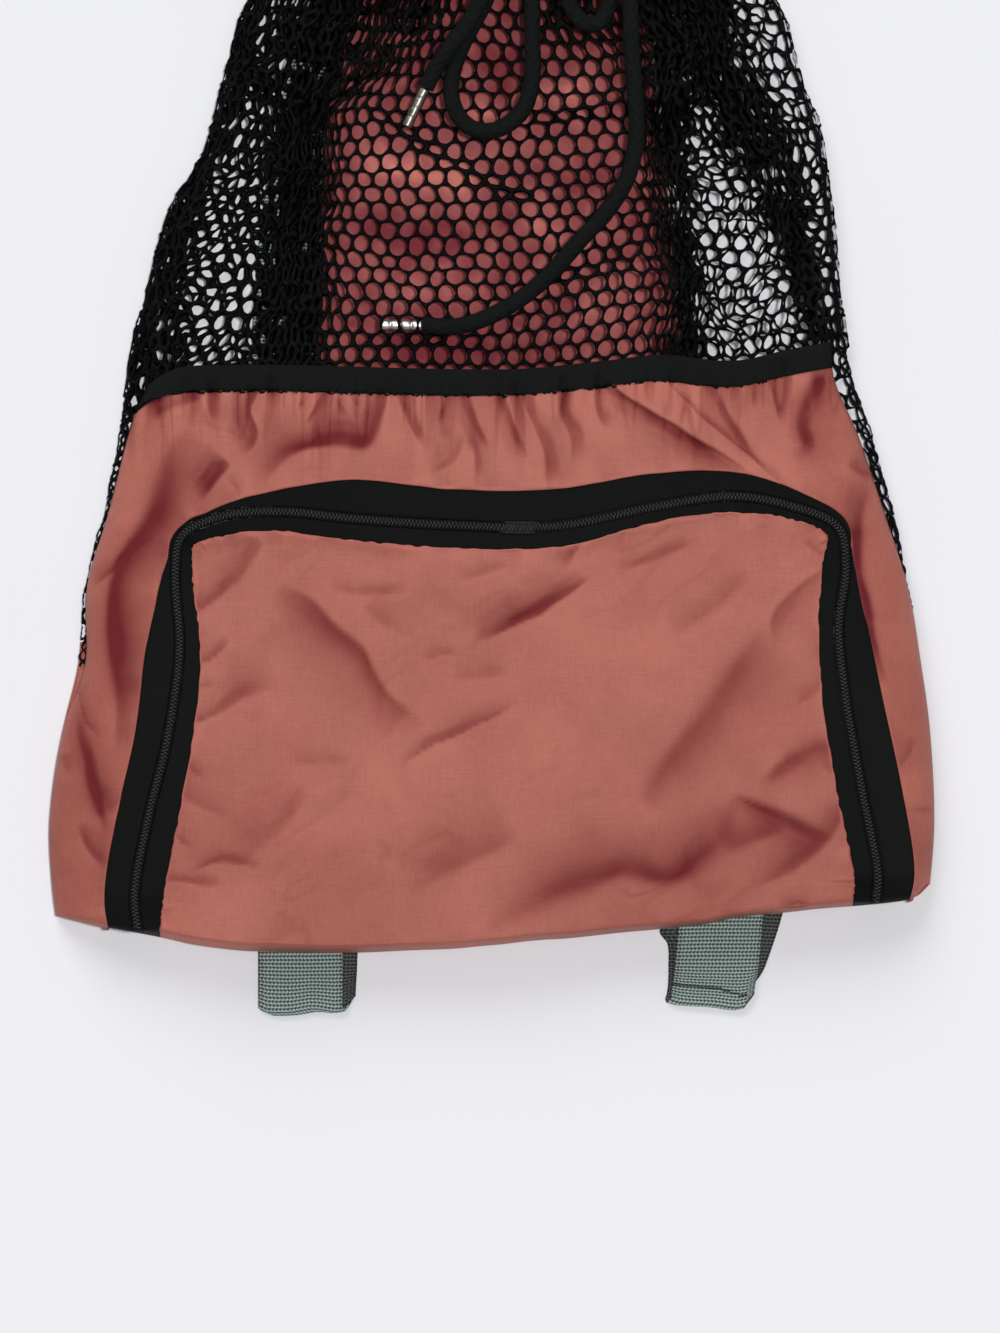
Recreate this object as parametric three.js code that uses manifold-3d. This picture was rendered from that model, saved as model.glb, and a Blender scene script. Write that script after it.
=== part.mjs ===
// A drawstring swim bag, lying empty on its back: a black net sack with a cloth base, a cloth front
// panel with an arched zip, two webbing straps behind and a tied drawcord at its mouth.
// Millimetres. +X is to the right of the front, +Y runs from the base to the mouth, +Z is up.
import * as THREE from "three";
import { mergeVertices } from "three/addons/utils/BufferGeometryUtils.js";
import Module from "manifold-3d";

const { lerp, clamp, smoothstep } = THREE.MathUtils;
const wasm = await Module();
wasm.setup();

// Driving dimensions
const SACK_LENGTH = 516; // base edge to mouth
const LOOP_LENGTH = 30; // how far the strap loops stand out below the base edge
const CLOTH = 1.2; // wall of cloth, net and tape
const GAP = 0.3; // between pieces that are sewn or lie together
const SIDE_ROLL = 45; // radius over which the front rolls down to its side folds
const BASE_ROLL = 38; // the same at the base edge
const BASE_HEIGHT = 140; // cloth of the lower back
const BINDING_HEIGHT = 12;
const BINDING_PROUD = 0.9;
const COIL = { width: 4.4, proud: 1 };
const LEAST_TAPE = 1.4; // zip tape still showing where it is folded away
const WEBBING = { width: 38, thickness: 1.8, sewn: 18 };
const HEM = { width: 16, thickness: 11, wall: 1.2, halfSpan: 66, centreX: 6, clear: 12.5, sides: 8 };
const SLOT = { left: -27, right: 39, depth: 8 }; // gap in the hem where the drawcord comes out
const CORD = { diameter: 7.5, sides: 8, step: 12, stepInHem: 7.5 };
const TIP = { length: 19, radius: 2.5, crimps: 3, crimp: 0.45, crimpHalf: 1, chamfer: 1, sides: 8 };
const KNOT = { radius: 8.4, turns: 3, around: 2, segments: 36, sides: 7, flatten: 0.66 };

// The sack's side folds seen from the front, how far the edges of the front panel and its binding lie
// inside them, and the height of the front above the back
const OUTLINE = [
  { y: 0, left: -196, right: 194, tuckLeft: 0, tuckRight: 0, loft: 24 },
  { y: 30, left: -200, right: 198, tuckLeft: 0, tuckRight: 0, loft: 25 },
  { y: 60, left: -201, right: 201, tuckLeft: 0, tuckRight: 0, loft: 27 },
  { y: 100, left: -195, right: 199, tuckLeft: 0, tuckRight: 0, loft: 28 },
  { y: 130, left: -188, right: 195, tuckLeft: 3, tuckRight: 0, loft: 27 },
  { y: 165, left: -185, right: 189, tuckLeft: 1, tuckRight: 1, loft: 25 },
  { y: 200, left: -176, right: 182, tuckLeft: 2, tuckRight: 4, loft: 23 },
  { y: 235, left: -169, right: 172, tuckLeft: 4, tuckRight: 6, loft: 20 },
  { y: 262, left: -166, right: 163, tuckLeft: 10, tuckRight: 8, loft: 16 },
  { y: 290, left: -160, right: 159, tuckLeft: 3, tuckRight: 3, loft: 14.8 },
  { y: 330, left: -149, right: 155, tuckLeft: 0, tuckRight: 0, loft: 14.8 },
  { y: 367, left: -130, right: 150, tuckLeft: 0, tuckRight: 0, loft: 14.8 },
  { y: 400, left: -121, right: 139, tuckLeft: 0, tuckRight: 0, loft: 14.8 },
  { y: 432, left: -112, right: 129, tuckLeft: 0, tuckRight: 0, loft: 14.8 },
  { y: 466, left: -92, right: 104, tuckLeft: 0, tuckRight: 0, loft: 16.5 },
  { y: 500, left: -66, right: 78, tuckLeft: 0, tuckRight: 0, loft: 19.5 },
];

// The base edge, a little askew as the bag lies
const BASE_EDGE = [
  { x: -198, y: 15 },
  { x: -174, y: 10 },
  { x: -108, y: 0 },
  { x: -21, y: 1 },
  { x: 75, y: 10 },
  { x: 133, y: 17 },
  { x: 190, y: 23 },
  { x: 197, y: 30 },
];

// Lower edge of the binding across the front
const BINDING = [
  { x: -166, y: 247 },
  { x: -100, y: 254 },
  { x: 4, y: 252 },
  { x: 67, y: 257 },
  { x: 134, y: 261 },
  { x: 166, y: 267 },
];

// Side seams of the cloth strip up the back
const BACK_STRIP = [
  { y: 140, left: -80, right: 88 },
  { y: 270, left: -78, right: 86 },
  { y: 432, left: -60, right: 68 },
  { y: 500, left: -48, right: 56 },
];

// Middle of each strap's run along the floor, and of the turned-back layer of its loop
const STRAP_RUNS = [
  { y: -30, left: -83, right: 98 },
  { y: 20, left: -81, right: 113 },
  { y: 60, left: -84, right: 120 },
  { y: 140, left: -88, right: 108 },
  { y: 260, left: -91, right: 68 },
  { y: 380, left: -78, right: 56 },
  { y: 494, left: -40, right: 48 },
];
const STRAP_LOOPS = [
  { y: -30, left: -87, right: 100 },
  { y: 60, left: -87, right: 108 },
];

// The zip's coil from its lower left end over the arch to its lower right end, with the width of black
// band outside it and of tape inside it
const ZIP = [
  { x: -160.5, y: 9, gusset: 13, tape: 8 },
  { x: -162.5, y: 25, gusset: 13, tape: 11 },
  { x: -155.5, y: 61, gusset: 14.5, tape: 11 },
  { x: -147, y: 96, gusset: 16.5, tape: 9 },
  { x: -141.5, y: 137, gusset: 15, tape: 7 },
  { x: -143.5, y: 171, gusset: 3.5, tape: 5.5 },
  { x: -140.5, y: 188, gusset: 0, tape: 4.5, corner: true },
  { x: -122, y: 197, gusset: 2.5, tape: 6.5 },
  { x: -95, y: 199, gusset: 8, tape: 6.5 },
  { x: -64, y: 196, gusset: 15.5, tape: 7.5 },
  { x: -20, y: 193, gusset: 14, tape: 8 },
  { x: 30, y: 192.5, gusset: 14.5, tape: 7 },
  { x: 73, y: 201, gusset: 13, tape: 4.5 },
  { x: 108, y: 206, gusset: 9, tape: 5 },
  { x: 134, y: 202, gusset: 5.5, tape: 3.5 },
  { x: 157, y: 192, gusset: 2.5, tape: 4, corner: true },
  { x: 161.5, y: 174, gusset: 2, tape: 8.5 },
  { x: 158, y: 148, gusset: 11.5, tape: 7 },
  { x: 160, y: 118, gusset: 15, tape: 8 },
  { x: 168, y: 73, gusset: 18, tape: 9 },
  { x: 175.5, y: 34, gusset: 16, tape: 8.5 },
  { x: 174.5, y: 21.5, gusset: 14, tape: 8 },
];
const LEG_STATIONS = 9; // along each leg of the zip
const ARCH_STATIONS = 28; // along its top
const PANEL_ROWS = 5; // from the zip out to the edge of the front panel

// Main folds of the coral front, as valleys
const FOLDS = [
  { from: [-108, 251], via: [-112, 236], to: [-129, 209], depth: 3, reach: 8 },
  { from: [-142, 229], via: [-165, 186], to: [-176, 135], depth: 3.5, reach: 9 },
  { from: [-186, 100], via: [-182, 72], to: [-177, 55], depth: 2.5, reach: 8 },
  { from: [-53, 244], via: [-82, 229], to: [-110, 211], depth: 2.5, reach: 9 },
  { from: [57, 251], via: [95, 234], to: [131, 211], depth: 3.5, reach: 9 },
  { from: [143, 248], via: [134, 232], to: [128, 222], depth: 2.5, reach: 7 },
  { from: [173, 212], via: [176, 177], to: [175, 157], depth: 2.5, reach: 7 },
  { from: [-93, 163], via: [-55, 134], to: [-29, 101], depth: 3.5, reach: 14 },
  { from: [-35, 87], via: [-14, 99], to: [4, 109], depth: 3, reach: 9 },
  { from: [4, 144], via: [40, 164], to: [86, 184], depth: 2.5, reach: 14 },
  { from: [108, 122], via: [94, 103], to: [73, 83], depth: 3.5, reach: 16 },
  { from: [47, 38], via: [90, 37], to: [114, 64], depth: 3.5, reach: 14 },
  { from: [114, 67], via: [134, 58], to: [151, 51], depth: 2.5, reach: 10 },
];
const GATHERS = { count: 7, depth: 2, fade: 28 }; // under the elastic binding

// Ridges where the drawn-in net bunches at its sides
const NET_RIDGES = [
  { from: [-142, 262], via: [-120, 360], to: [-72, 480], depth: -3.5, reach: 15 },
  { from: [-100, 262], via: [-90, 360], to: [-58, 480], depth: -3.5, reach: 14 },
  { from: [108, 262], via: [102, 360], to: [72, 480], depth: -3.5, reach: 14 },
  { from: [142, 262], via: [132, 360], to: [86, 480], depth: -3.5, reach: 15 },
];
const NET = { open: 0.8, frontColumns: 7, frontRows: 8, backColumns: 2, backRows: 10 };

// The drawcord's routes, laid on the front net
const ROUTES = {
  drawcord_neck: [
    [0.5, 491.5, 29.6], [-4, 496, 29.3], [-11, 501.5, 29.1], [-20, 506, 29], [-32, 508, 29],
    [-48.2, 508, 29], [-56.6, 508, 25.6], [-60, 508, 17.2], [-56.6, 508, 8.9], [-48.2, 508, 5.5],
    [-30, 508, 5.5], [6, 508, 5.5], [42, 508, 5.5], [60.2, 508, 5.5], [68.6, 508, 8.9],
    [72, 508, 17.2], [68.6, 508, 25.6], [60.2, 508, 29], [44, 508, 29], [32, 506, 29],
    [23, 501.5, 29.1], [17.5, 496.5, 29.3], [14.5, 491.5, 29.6],
  ],
  cord_tail_left: [
    [-4, 468, 33], [-3.2, 458, 33], [-2.8, 446, 32.6], [-4, 435, 32.3], [-7.5, 425.5, 32.2],
    [-13, 417, 31.8], [-17.5, 411.5, 30.9], [-21.5, 406.3, 29], [-25.2, 400.4, 26.4], [-28.2, 395, 24.6],
    [-30.2, 391, 24.4],
  ],
  cord_loop_left: [
    [3, 464, 27.2], [3.6, 455, 26.2], [1.6, 443, 25], [-3.5, 429.5, 24.2], [-10, 417, 24],
    [-15.6, 405.5, 24], [-18.4, 393, 24], [-17.2, 382.5, 24], [-11.5, 374.5, 24], [-2.7, 371.5, 24],
    [7, 374.5, 24], [14.5, 382, 24], [18.2, 395.5, 24], [18.3, 411.5, 24], [18, 431, 24.2],
    [17, 444, 25], [15.6, 455, 26.2], [14, 464, 27.2],
  ],
  cord_loop_right: [
    [24.5, 467, 27.6], [27.5, 458, 26.6], [30.5, 447, 25.3], [33, 436, 24.5], [36.5, 426.5, 24.1],
    [42, 420.5, 24], [48.5, 421, 24], [52.5, 427.5, 24], [52.8, 437, 24.6], [49.5, 448, 26],
    [43.5, 458, 28.6], [36, 467, 31.2], [29.5, 473.5, 32.2],
  ],
  cord_tail_right: [
    [26, 487, 28.8], [35, 484, 28.8], [45, 476, 28.3], [54, 463.5, 27], [59.5, 449, 25.4],
    [62.3, 432, 24.4], [63.2, 410, 24], [65, 388, 24], [65.3, 367, 24], [61.4, 350.5, 24],
    [51.5, 334.5, 24], [39.5, 321.5, 24], [28, 308.5, 24], [15, 297, 24], [0.5, 288.3, 24],
    [-15.5, 283.2, 24], [-31.5, 283.4, 23.8],
  ],
};
const KNOT_CENTRE = [8, 478, 31.5];

// Finishes
const finish = (color, roughness, metalness = 0) =>
  new THREE.MeshStandardMaterial({ color, roughness, metalness });
const CORAL = finish(0xac6a5f, 0.7);
const BLACK_TAPE = finish(0x171818, 0.75);
const BLACK_NET = finish(0x0c0c0c, 0.7);
const WEBBING_GREY = finish(0x6d7975, 0.8);
const BLACK_CORD = finish(0x181b1b, 0.8);
const NICKEL = finish(0xb8b4ac, 0.3, 1);

// A smooth function through one column of a table
function column(rows, by, name) {
  const slope = (i) => {
    const before = rows[Math.max(i - 1, 0)];
    const after = rows[Math.min(i + 1, rows.length - 1)];
    return (after[name] - before[name]) / (after[by] - before[by]);
  };
  return (at) => {
    const next = rows.findIndex((row) => row[by] > at);
    if (next === 0) return rows[0][name];
    if (next === -1) return rows.at(-1)[name];
    const low = rows[next - 1];
    const high = rows[next];
    const span = high[by] - low[by];
    const t = (at - low[by]) / span;
    const rise = t * t * (3 - 2 * t);
    const leave = t * (1 - t) * (1 - t) * span * slope(next - 1);
    const arrive = t * t * (t - 1) * span * slope(next);
    return lerp(low[name], high[name], rise) + leave + arrive;
  };
}

const leftFold = column(OUTLINE, "y", "left");
const rightFold = column(OUTLINE, "y", "right");
const tuckLeft = column(OUTLINE, "y", "tuckLeft");
const tuckRight = column(OUTLINE, "y", "tuckRight");
const loft = column(OUTLINE, "y", "loft");
const baseEdge = column(BASE_EDGE, "x", "y");
const bindingLow = column(BINDING, "x", "y");
const stripLeft = column(BACK_STRIP, "y", "left");
const stripRight = column(BACK_STRIP, "y", "right");
const frontLeft = (y) => leftFold(y) + tuckLeft(y);
const frontRight = (y) => rightFold(y) - tuckRight(y);

// Underside of the back: it lies on the straps, and on both layers of their loops near the base edge
const STRAP_LIFT = WEBBING.thickness + GAP;
const LOOP_REACH = { flat: 40, fall: 22, flatY: 52, fallY: 30 };
function backHeight(x, y) {
  const overLoop = ["left", "right"].map((side) => {
    const away = Math.abs(x - column(STRAP_LOOPS, "y", side)(y));
    return 1 - smoothstep(away, LOOP_REACH.flat, LOOP_REACH.flat + LOOP_REACH.fall);
  });
  const nearBase = 1 - smoothstep(y, LOOP_REACH.flatY, LOOP_REACH.flatY + LOOP_REACH.fallY);
  return STRAP_LIFT * (1 + Math.max(...overLoop) * nearBase);
}

// Depth of a list of folds at a point, each a dent along its own curve
const FOLD_STEPS = 12;
const foldCurves = (rows) =>
  rows.map((row) => {
    const points = [row.from, row.via, row.to].map(([x, y]) => new THREE.Vector2(x, y));
    return { ...row, line: new THREE.SplineCurve(points).getPoints(FOLD_STEPS) };
  });
const folds = foldCurves([...FOLDS, ...NET_RIDGES]);
function foldDepth(x, y) {
  const here = new THREE.Vector2(x, y);
  let total = 0;
  for (const { line, depth, reach } of folds) {
    const away = Math.min(...line.map((point) => point.distanceTo(here)));
    total += depth * Math.exp(-((away / reach) ** 2));
  }
  return total;
}

function gatherHeight(x, y) {
  const below = bindingLow(x) - y;
  const across = (x - frontLeft(y)) / (frontRight(y) - frontLeft(y));
  const wave = Math.cos(2 * Math.PI * GATHERS.count * across);
  const fade = below > 0 ? GATHERS.fade : BINDING_HEIGHT;
  return GATHERS.depth * wave * (1 - smoothstep(Math.abs(below), 0, fade));
}

// Outer face of the front: a low crown that rolls down to the side folds and the base edge
const rolled = (distance, radius) => Math.sqrt(1 - (1 - clamp(distance / radius, 0, 1)) ** 2);
function frontHeight(x, y) {
  const sides = rolled(x - frontLeft(y), SIDE_ROLL) * rolled(frontRight(y) - x, SIDE_ROLL);
  const crown = sides * rolled(y - baseEdge(x), BASE_ROLL);
  const seam = backHeight(x, y) + 2 * CLOTH + GAP;
  return seam + crown * (loft(y) + gatherHeight(x, y) - foldDepth(x, y));
}

// A point at a height field, moved along the field's own normal
const SLOPE_STEP = 0.5;
function onField(height, offset) {
  return ({ x, y }) => {
    const slopeX = (height(x + SLOPE_STEP, y) - height(x - SLOPE_STEP, y)) / (2 * SLOPE_STEP);
    const slopeY = (height(x, y + SLOPE_STEP) - height(x, y - SLOPE_STEP)) / (2 * SLOPE_STEP);
    const normal = new THREE.Vector3(-slopeX, -slopeY, 1).normalize();
    return new THREE.Vector3(x, y, height(x, y)).addScaledVector(normal, offset);
  };
}
const frontSheet = (layout, proud = 0) =>
  closedSheet(layout, onField(frontHeight, proud), onField(frontHeight, -CLOTH));
const backSheet = (layout) =>
  closedSheet(layout, onField(backHeight, CLOTH), onField(backHeight, 0));

// A closed wall between two faces: the plan's polygons above and below, and a rim along every free edge
function closedSheet({ plan, faces }, upper, lower) {
  const under = plan.length;
  const index = [];
  const freeEdges = new Map();
  for (const face of faces) {
    for (let i = 1; i < face.length - 1; i++) {
      index.push(face[0], face[i], face[i + 1]);
      index.push(under + face[0], under + face[i + 1], under + face[i]);
    }
    face.forEach((a, i) => {
      const b = face[(i + 1) % face.length];
      if (!freeEdges.delete(`${b},${a}`)) freeEdges.set(`${a},${b}`, [a, b]);
    });
  }
  for (const [a, b] of freeEdges.values()) {
    index.push(a, under + a, under + b, a, under + b, b);
  }
  const geometry = new THREE.BufferGeometry().setFromPoints([...plan.map(upper), ...plan.map(lower)]);
  geometry.setIndex(index);
  geometry.computeVertexNormals();
  return geometry;
}

// A grid of four-sided faces, laid out by a function of u and v
function gridLayout(columns, rows, place) {
  const plan = [];
  const faces = [];
  for (let j = 0; j <= rows; j++) {
    for (let i = 0; i <= columns; i++) {
      plan.push(place(i / columns, j / rows, i, j));
    }
  }
  const at = (i, j) => j * (columns + 1) + i;
  for (let j = 0; j < rows; j++) {
    for (let i = 0; i < columns; i++) {
      faces.push([at(i, j), at(i + 1, j), at(i + 1, j + 1), at(i, j + 1)]);
    }
  }
  return { plan, faces };
}

// A net of six-sided gaps with straight borders, laid out by a function of u and v. Rows are even in number.
function netLayout(columns, rows, open, place) {
  const width = 1 / (columns + 0.5);
  const height = 1 / (0.75 * rows + 0.25);
  const plan = [];
  const faces = [];
  const known = new Map();
  const point = (u, v) => {
    const key = `${u.toFixed(6)},${v.toFixed(6)}`;
    if (!known.has(key)) {
      known.set(key, plan.length);
      plan.push(place(u, v));
    }
    return known.get(key);
  };
  const polygon = (...corners) => faces.push(corners.map(([u, v]) => point(u, v)));
  const CORNERS = [
    [0.5, -0.25],
    [0.5, 0.25],
    [0, 0.5],
    [-0.5, 0.25],
    [-0.5, -0.25],
    [0, -0.5],
  ];
  for (let j = 0; j < rows; j++) {
    const shift = j % 2 ? 1 : 0.5;
    const v = height * (0.5 + 0.75 * j);
    for (let i = 0; i < columns; i++) {
      const u = (i + shift) * width;
      const ring = (scale) => CORNERS.map(([a, b]) => [u + a * width * scale, v + b * height * scale]);
      const outer = ring(1);
      const inner = ring(open);
      for (let k = 0; k < CORNERS.length; k++) {
        const next = (k + 1) % CORNERS.length;
        polygon(outer[k], outer[next], inner[next], inner[k]);
      }
    }
    const [low, high] = [v - height / 4, v + height / 4];
    const [lowest, highest] = [v - height / 2, v + height / 2];
    if (j % 2) {
      polygon([0, lowest], [width / 2, low], [width / 2, high], [0, highest]);
    } else {
      polygon([1 - width / 2, low], [1, lowest], [1, highest], [1 - width / 2, high]);
    }
  }
  for (let i = 0; i < columns; i++) {
    const [before, after] = [i * width, (i + 1) * width];
    const middle = before + width / 2;
    polygon([middle, 0], [middle + width, 0], [after, height / 4]);
    polygon([middle, 1 - height / 4], [after, 1], [before, 1]);
  }
  polygon([0, 0], [width / 2, 0], [0, height / 4]);
  polygon([1, 1 - height / 4], [1, 1], [1 - width / 2, 1]);
  return { plan, faces };
}

// Stations along the zip, each with the plan lines that the pieces beside the coil share
const zipLine = new THREE.CatmullRomCurve3(ZIP.map(({ x, y }) => new THREE.Vector3(x, y, 0)));
const zipRows = ZIP.map((row, i) => ({ ...row, i }));
const gussetWidth = column(zipRows, "i", "gusset");
const tapeWidth = column(zipRows, "i", "tape");
const lastRow = ZIP.length - 1;
const corners = zipRows.filter((row) => row.corner).map((row) => row.i / lastRow);

function zipStation(t) {
  const middle = zipLine.getPoint(t);
  const along = zipLine.getTangent(t);
  const beside = (distance) => {
    const x = middle.x - along.y * distance;
    const y = middle.y + along.x * distance;
    return { x, y: t === 0 || t === 1 ? baseEdge(x) : y };
  };
  const half = COIL.width / 2;
  const gusset = half + GAP + Math.max(gussetWidth(t * lastRow), LEAST_TAPE);
  const tape = half + GAP + Math.max(tapeWidth(t * lastRow), LEAST_TAPE);
  return {
    panel: beside(gusset + GAP),
    gusset: [beside(gusset), beside(half + GAP)],
    coil: [beside(half), beside(-half)],
    tape: [beside(-half - GAP), beside(-tape)],
    door: beside(-tape - GAP),
  };
}
const span = (from, to, count) => Array.from({ length: count }, (_, k) => lerp(from, to, k / count));
const stations = [
  ...span(0, corners[0], LEG_STATIONS),
  ...span(corners[0], corners[1], ARCH_STATIONS),
  ...span(corners[1], 1, LEG_STATIONS),
  1,
].map(zipStation);

const mix = (a, b, t) => ({ x: lerp(a.x, b.x, t), y: lerp(a.y, b.y, t) });

// Outer edge of the front panel at a station: up the left fold, along the binding, down the right fold
function panelEdge(k) {
  const archStart = LEG_STATIONS;
  const archEnd = LEG_STATIONS + ARCH_STATIONS;
  const [first, last] = [BASE_EDGE[0], BASE_EDGE.at(-1)];
  const [topLeft, topRight] = [BINDING[0].y, BINDING.at(-1).y];
  if (k <= archStart) {
    const y = lerp(first.y, topLeft, k / LEG_STATIONS);
    return { x: frontLeft(y), y };
  }
  if (k < archEnd) {
    const x = lerp(frontLeft(topLeft), frontRight(topRight), (k - archStart) / ARCH_STATIONS);
    return { x, y: bindingLow(x) };
  }
  const y = lerp(topRight, last.y, (k - archEnd) / LEG_STATIONS);
  return { x: frontRight(y), y };
}

function frontPanel() {
  const layout = gridLayout(PANEL_ROWS, stations.length - 1, (u, v, i, k) =>
    mix(panelEdge(k), stations[k].panel, u),
  );
  return frontSheet(layout);
}

// The door fills the arch: a patch between its two legs, its top and the base edge
function pocketDoor() {
  const last = stations.length - 1;
  const [left, right] = [stations[0].door, stations[last].door];
  const [topLeft, topRight] = [stations[LEG_STATIONS].door, stations[last - LEG_STATIONS].door];
  const layout = gridLayout(ARCH_STATIONS, LEG_STATIONS, (u, v, i, j) => {
    const x = lerp(left.x, right.x, u);
    const base = { x, y: baseEdge(x) };
    const across = mix(stations[j].door, stations[last - j].door, u);
    const upward = mix(base, stations[LEG_STATIONS + i].door, v);
    const flat = mix(mix(left, right, u), mix(topLeft, topRight, u), v);
    return { x: across.x + upward.x - flat.x, y: across.y + upward.y - flat.y };
  });
  return frontSheet(layout);
}

function zipBand(name, proud = 0) {
  const layout = gridLayout(1, stations.length - 1, (u, v, i, k) => stations[k][name][i]);
  return frontSheet(layout, proud);
}

function panelBinding() {
  const layout = gridLayout(ARCH_STATIONS, 1, (u, v, i, j) => {
    const low = panelEdge(LEG_STATIONS + i);
    const y = low.y + GAP + v * BINDING_HEIGHT;
    return { x: j ? lerp(frontLeft(y), frontRight(y), u) : low.x, y };
  });
  return frontSheet(layout, BINDING_PROUD);
}

const NET_TOP = SACK_LENGTH - HEM.width - GAP;
const NET_CLEAR = 2; // the net's straight borders stay this far off the binding's curve
function frontNet() {
  const layout = netLayout(NET.frontColumns, NET.frontRows, NET.open, (u, v) => {
    const x = lerp(leftFold(BINDING[0].y), rightFold(BINDING.at(-1).y), u);
    const bottom = bindingLow(x) + BINDING_HEIGHT + NET_CLEAR;
    const y = lerp(bottom, NET_TOP, v);
    return { x: lerp(leftFold(y), rightFold(y), u), y };
  });
  return frontSheet(layout);
}

const NET_SEAM = 0.8; // between the back net's straight borders and the strip
function backNet(outer, inner) {
  return backSheet(
    netLayout(NET.backColumns, NET.backRows, NET.open, (u, v) => {
      const y = lerp(BASE_HEIGHT + GAP, NET_TOP, v);
      return { x: lerp(outer(y), inner(y), u), y };
    }),
  );
}

const STRIP_GRID = { columns: 6, rows: 12 };
function backStrip() {
  return backSheet(
    gridLayout(STRIP_GRID.columns, STRIP_GRID.rows, (u, v) => {
      const y = lerp(BASE_HEIGHT + GAP, NET_TOP, v);
      return { x: lerp(stripLeft(y), stripRight(y), u), y };
    }),
  );
}

const BASE_GRID = { columns: 20, rows: 6 };
function baseBack() {
  return backSheet(
    gridLayout(BASE_GRID.columns, BASE_GRID.rows, (u, v) => {
      const edge = lerp(BASE_EDGE[0].x, BASE_EDGE.at(-1).x, u);
      const y = lerp(baseEdge(edge), BASE_HEIGHT, v);
      return { x: lerp(leftFold(y), rightFold(y), u), y };
    }),
  );
}

// A flat band along a path in Y and Z, its width along X
function ribbon(path, width, thickness) {
  const up = [];
  const down = [];
  path.forEach(({ x, y, z }, i) => {
    const before = path[Math.max(i - 1, 0)];
    const after = path[Math.min(i + 1, path.length - 1)];
    const along = new THREE.Vector2(after.y - before.y, after.z - before.z).normalize();
    for (const side of [-width / 2, width / 2]) {
      const rise = new THREE.Vector3(0, -along.y, along.x).multiplyScalar(thickness / 2);
      const middle = new THREE.Vector3(x + side, y, z);
      up.push(middle.clone().add(rise));
      down.push(middle.clone().sub(rise));
    }
  });
  const { plan, faces } = gridLayout(1, path.length - 1, (u, v, i, j) => 2 * j + i);
  return closedSheet({ plan, faces }, (k) => up[k], (k) => down[k]);
}

// A strap: its run along the floor behind the bag, a tight turn, and the short layer sewn to the base
const RUN_STEPS = 16;
const TURN_STEPS = 6;
function strap(side) {
  const run = column(STRAP_RUNS, "y", side);
  const loop = column(STRAP_LOOPS, "y", side);
  const floorZ = WEBBING.thickness / 2;
  const layerZ = floorZ + WEBBING.thickness + GAP;
  const turnRadius = (layerZ - floorZ) / 2;
  const turnY = -LOOP_LENGTH + turnRadius + WEBBING.thickness / 2;
  const top = STRAP_RUNS.at(-1).y;
  const path = [];
  for (let k = 0; k <= RUN_STEPS; k++) {
    const y = lerp(top, turnY, k / RUN_STEPS);
    path.push({ x: run(y), y, z: floorZ });
  }
  for (let k = 1; k < TURN_STEPS; k++) {
    const angle = (Math.PI * k) / TURN_STEPS;
    const y = turnY - turnRadius * Math.sin(angle);
    const z = floorZ + turnRadius * (1 - Math.cos(angle));
    path.push({ x: lerp(run(y), loop(y), k / TURN_STEPS), y, z });
  }
  const end = baseEdge(loop(0)) + WEBBING.sewn;
  for (const y of [turnY, lerp(turnY, end, 0.5), end]) {
    path.push({ x: loop(y), y, z: layerZ });
  }
  return ribbon(path.reverse(), WEBBING.width, WEBBING.thickness);
}

// Joining and cutting of closed geometry
function solid(geometry) {
  const bare = new THREE.BufferGeometry();
  bare.setAttribute("position", geometry.getAttribute("position"));
  bare.setIndex(geometry.index);
  const merged = mergeVertices(bare);
  return new wasm.Manifold(
    new wasm.Mesh({
      numProp: 3,
      vertProperties: merged.getAttribute("position").array,
      triVerts: new Uint32Array(merged.index.array),
    }),
  );
}
function geometryOf(manifold) {
  const { vertProperties, triVerts } = manifold.getMesh();
  const geometry = new THREE.BufferGeometry();
  geometry.setAttribute("position", new THREE.BufferAttribute(vertProperties, 3));
  geometry.setIndex(new THREE.BufferAttribute(triVerts, 1));
  geometry.computeVertexNormals();
  return geometry;
}

// A closed tube round the mouth: an oblong ring in X and Z with a rounded section
const HEM_END_STEPS = 6;
const HEM_RUN_STEPS = 4;
const hemBackZ = HEM.thickness / 2;
const hemFrontZ = hemBackZ + HEM.thickness + HEM.clear;
const hemMiddleY = SACK_LENGTH - HEM.width / 2;
function mouthRing(width, thickness) {
  const radius = (hemFrontZ - hemBackZ) / 2;
  const run = HEM.halfSpan - radius;
  const ring = [];
  for (const end of [1, -1]) {
    const start = end > 0 ? 0 : Math.PI;
    for (let k = 0; k < HEM_END_STEPS; k++) {
      const angle = start + (Math.PI * k) / HEM_END_STEPS;
      ring.push({ x: end * run, out: [Math.sin(angle), Math.cos(angle)] });
    }
    for (let k = 0; k < HEM_RUN_STEPS; k++) {
      ring.push({ x: lerp(end * run, -end * run, k / HEM_RUN_STEPS), out: [0, -end] });
    }
  }
  const positions = [];
  for (const { x, out } of ring) {
    for (let s = 0; s < HEM.sides; s++) {
      const turn = (2 * Math.PI * (s + 0.5)) / HEM.sides;
      const away = radius + (Math.cos(turn) * thickness) / 2 / Math.cos(Math.PI / HEM.sides);
      const y = hemMiddleY + (Math.sin(turn) * width) / 2 / Math.cos(Math.PI / HEM.sides);
      const z = (hemFrontZ + hemBackZ) / 2 + out[1] * away;
      positions.push(new THREE.Vector3(HEM.centreX + x + out[0] * away, y, z));
    }
  }
  const index = [];
  const at = (i, s) => (i % ring.length) * HEM.sides + (s % HEM.sides);
  for (let i = 0; i < ring.length; i++) {
    for (let s = 0; s < HEM.sides; s++) {
      index.push(at(i, s), at(i + 1, s + 1), at(i, s + 1));
      index.push(at(i, s), at(i + 1, s), at(i + 1, s + 1));
    }
  }
  return new THREE.BufferGeometry().setFromPoints(positions).setIndex(index);
}

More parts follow.
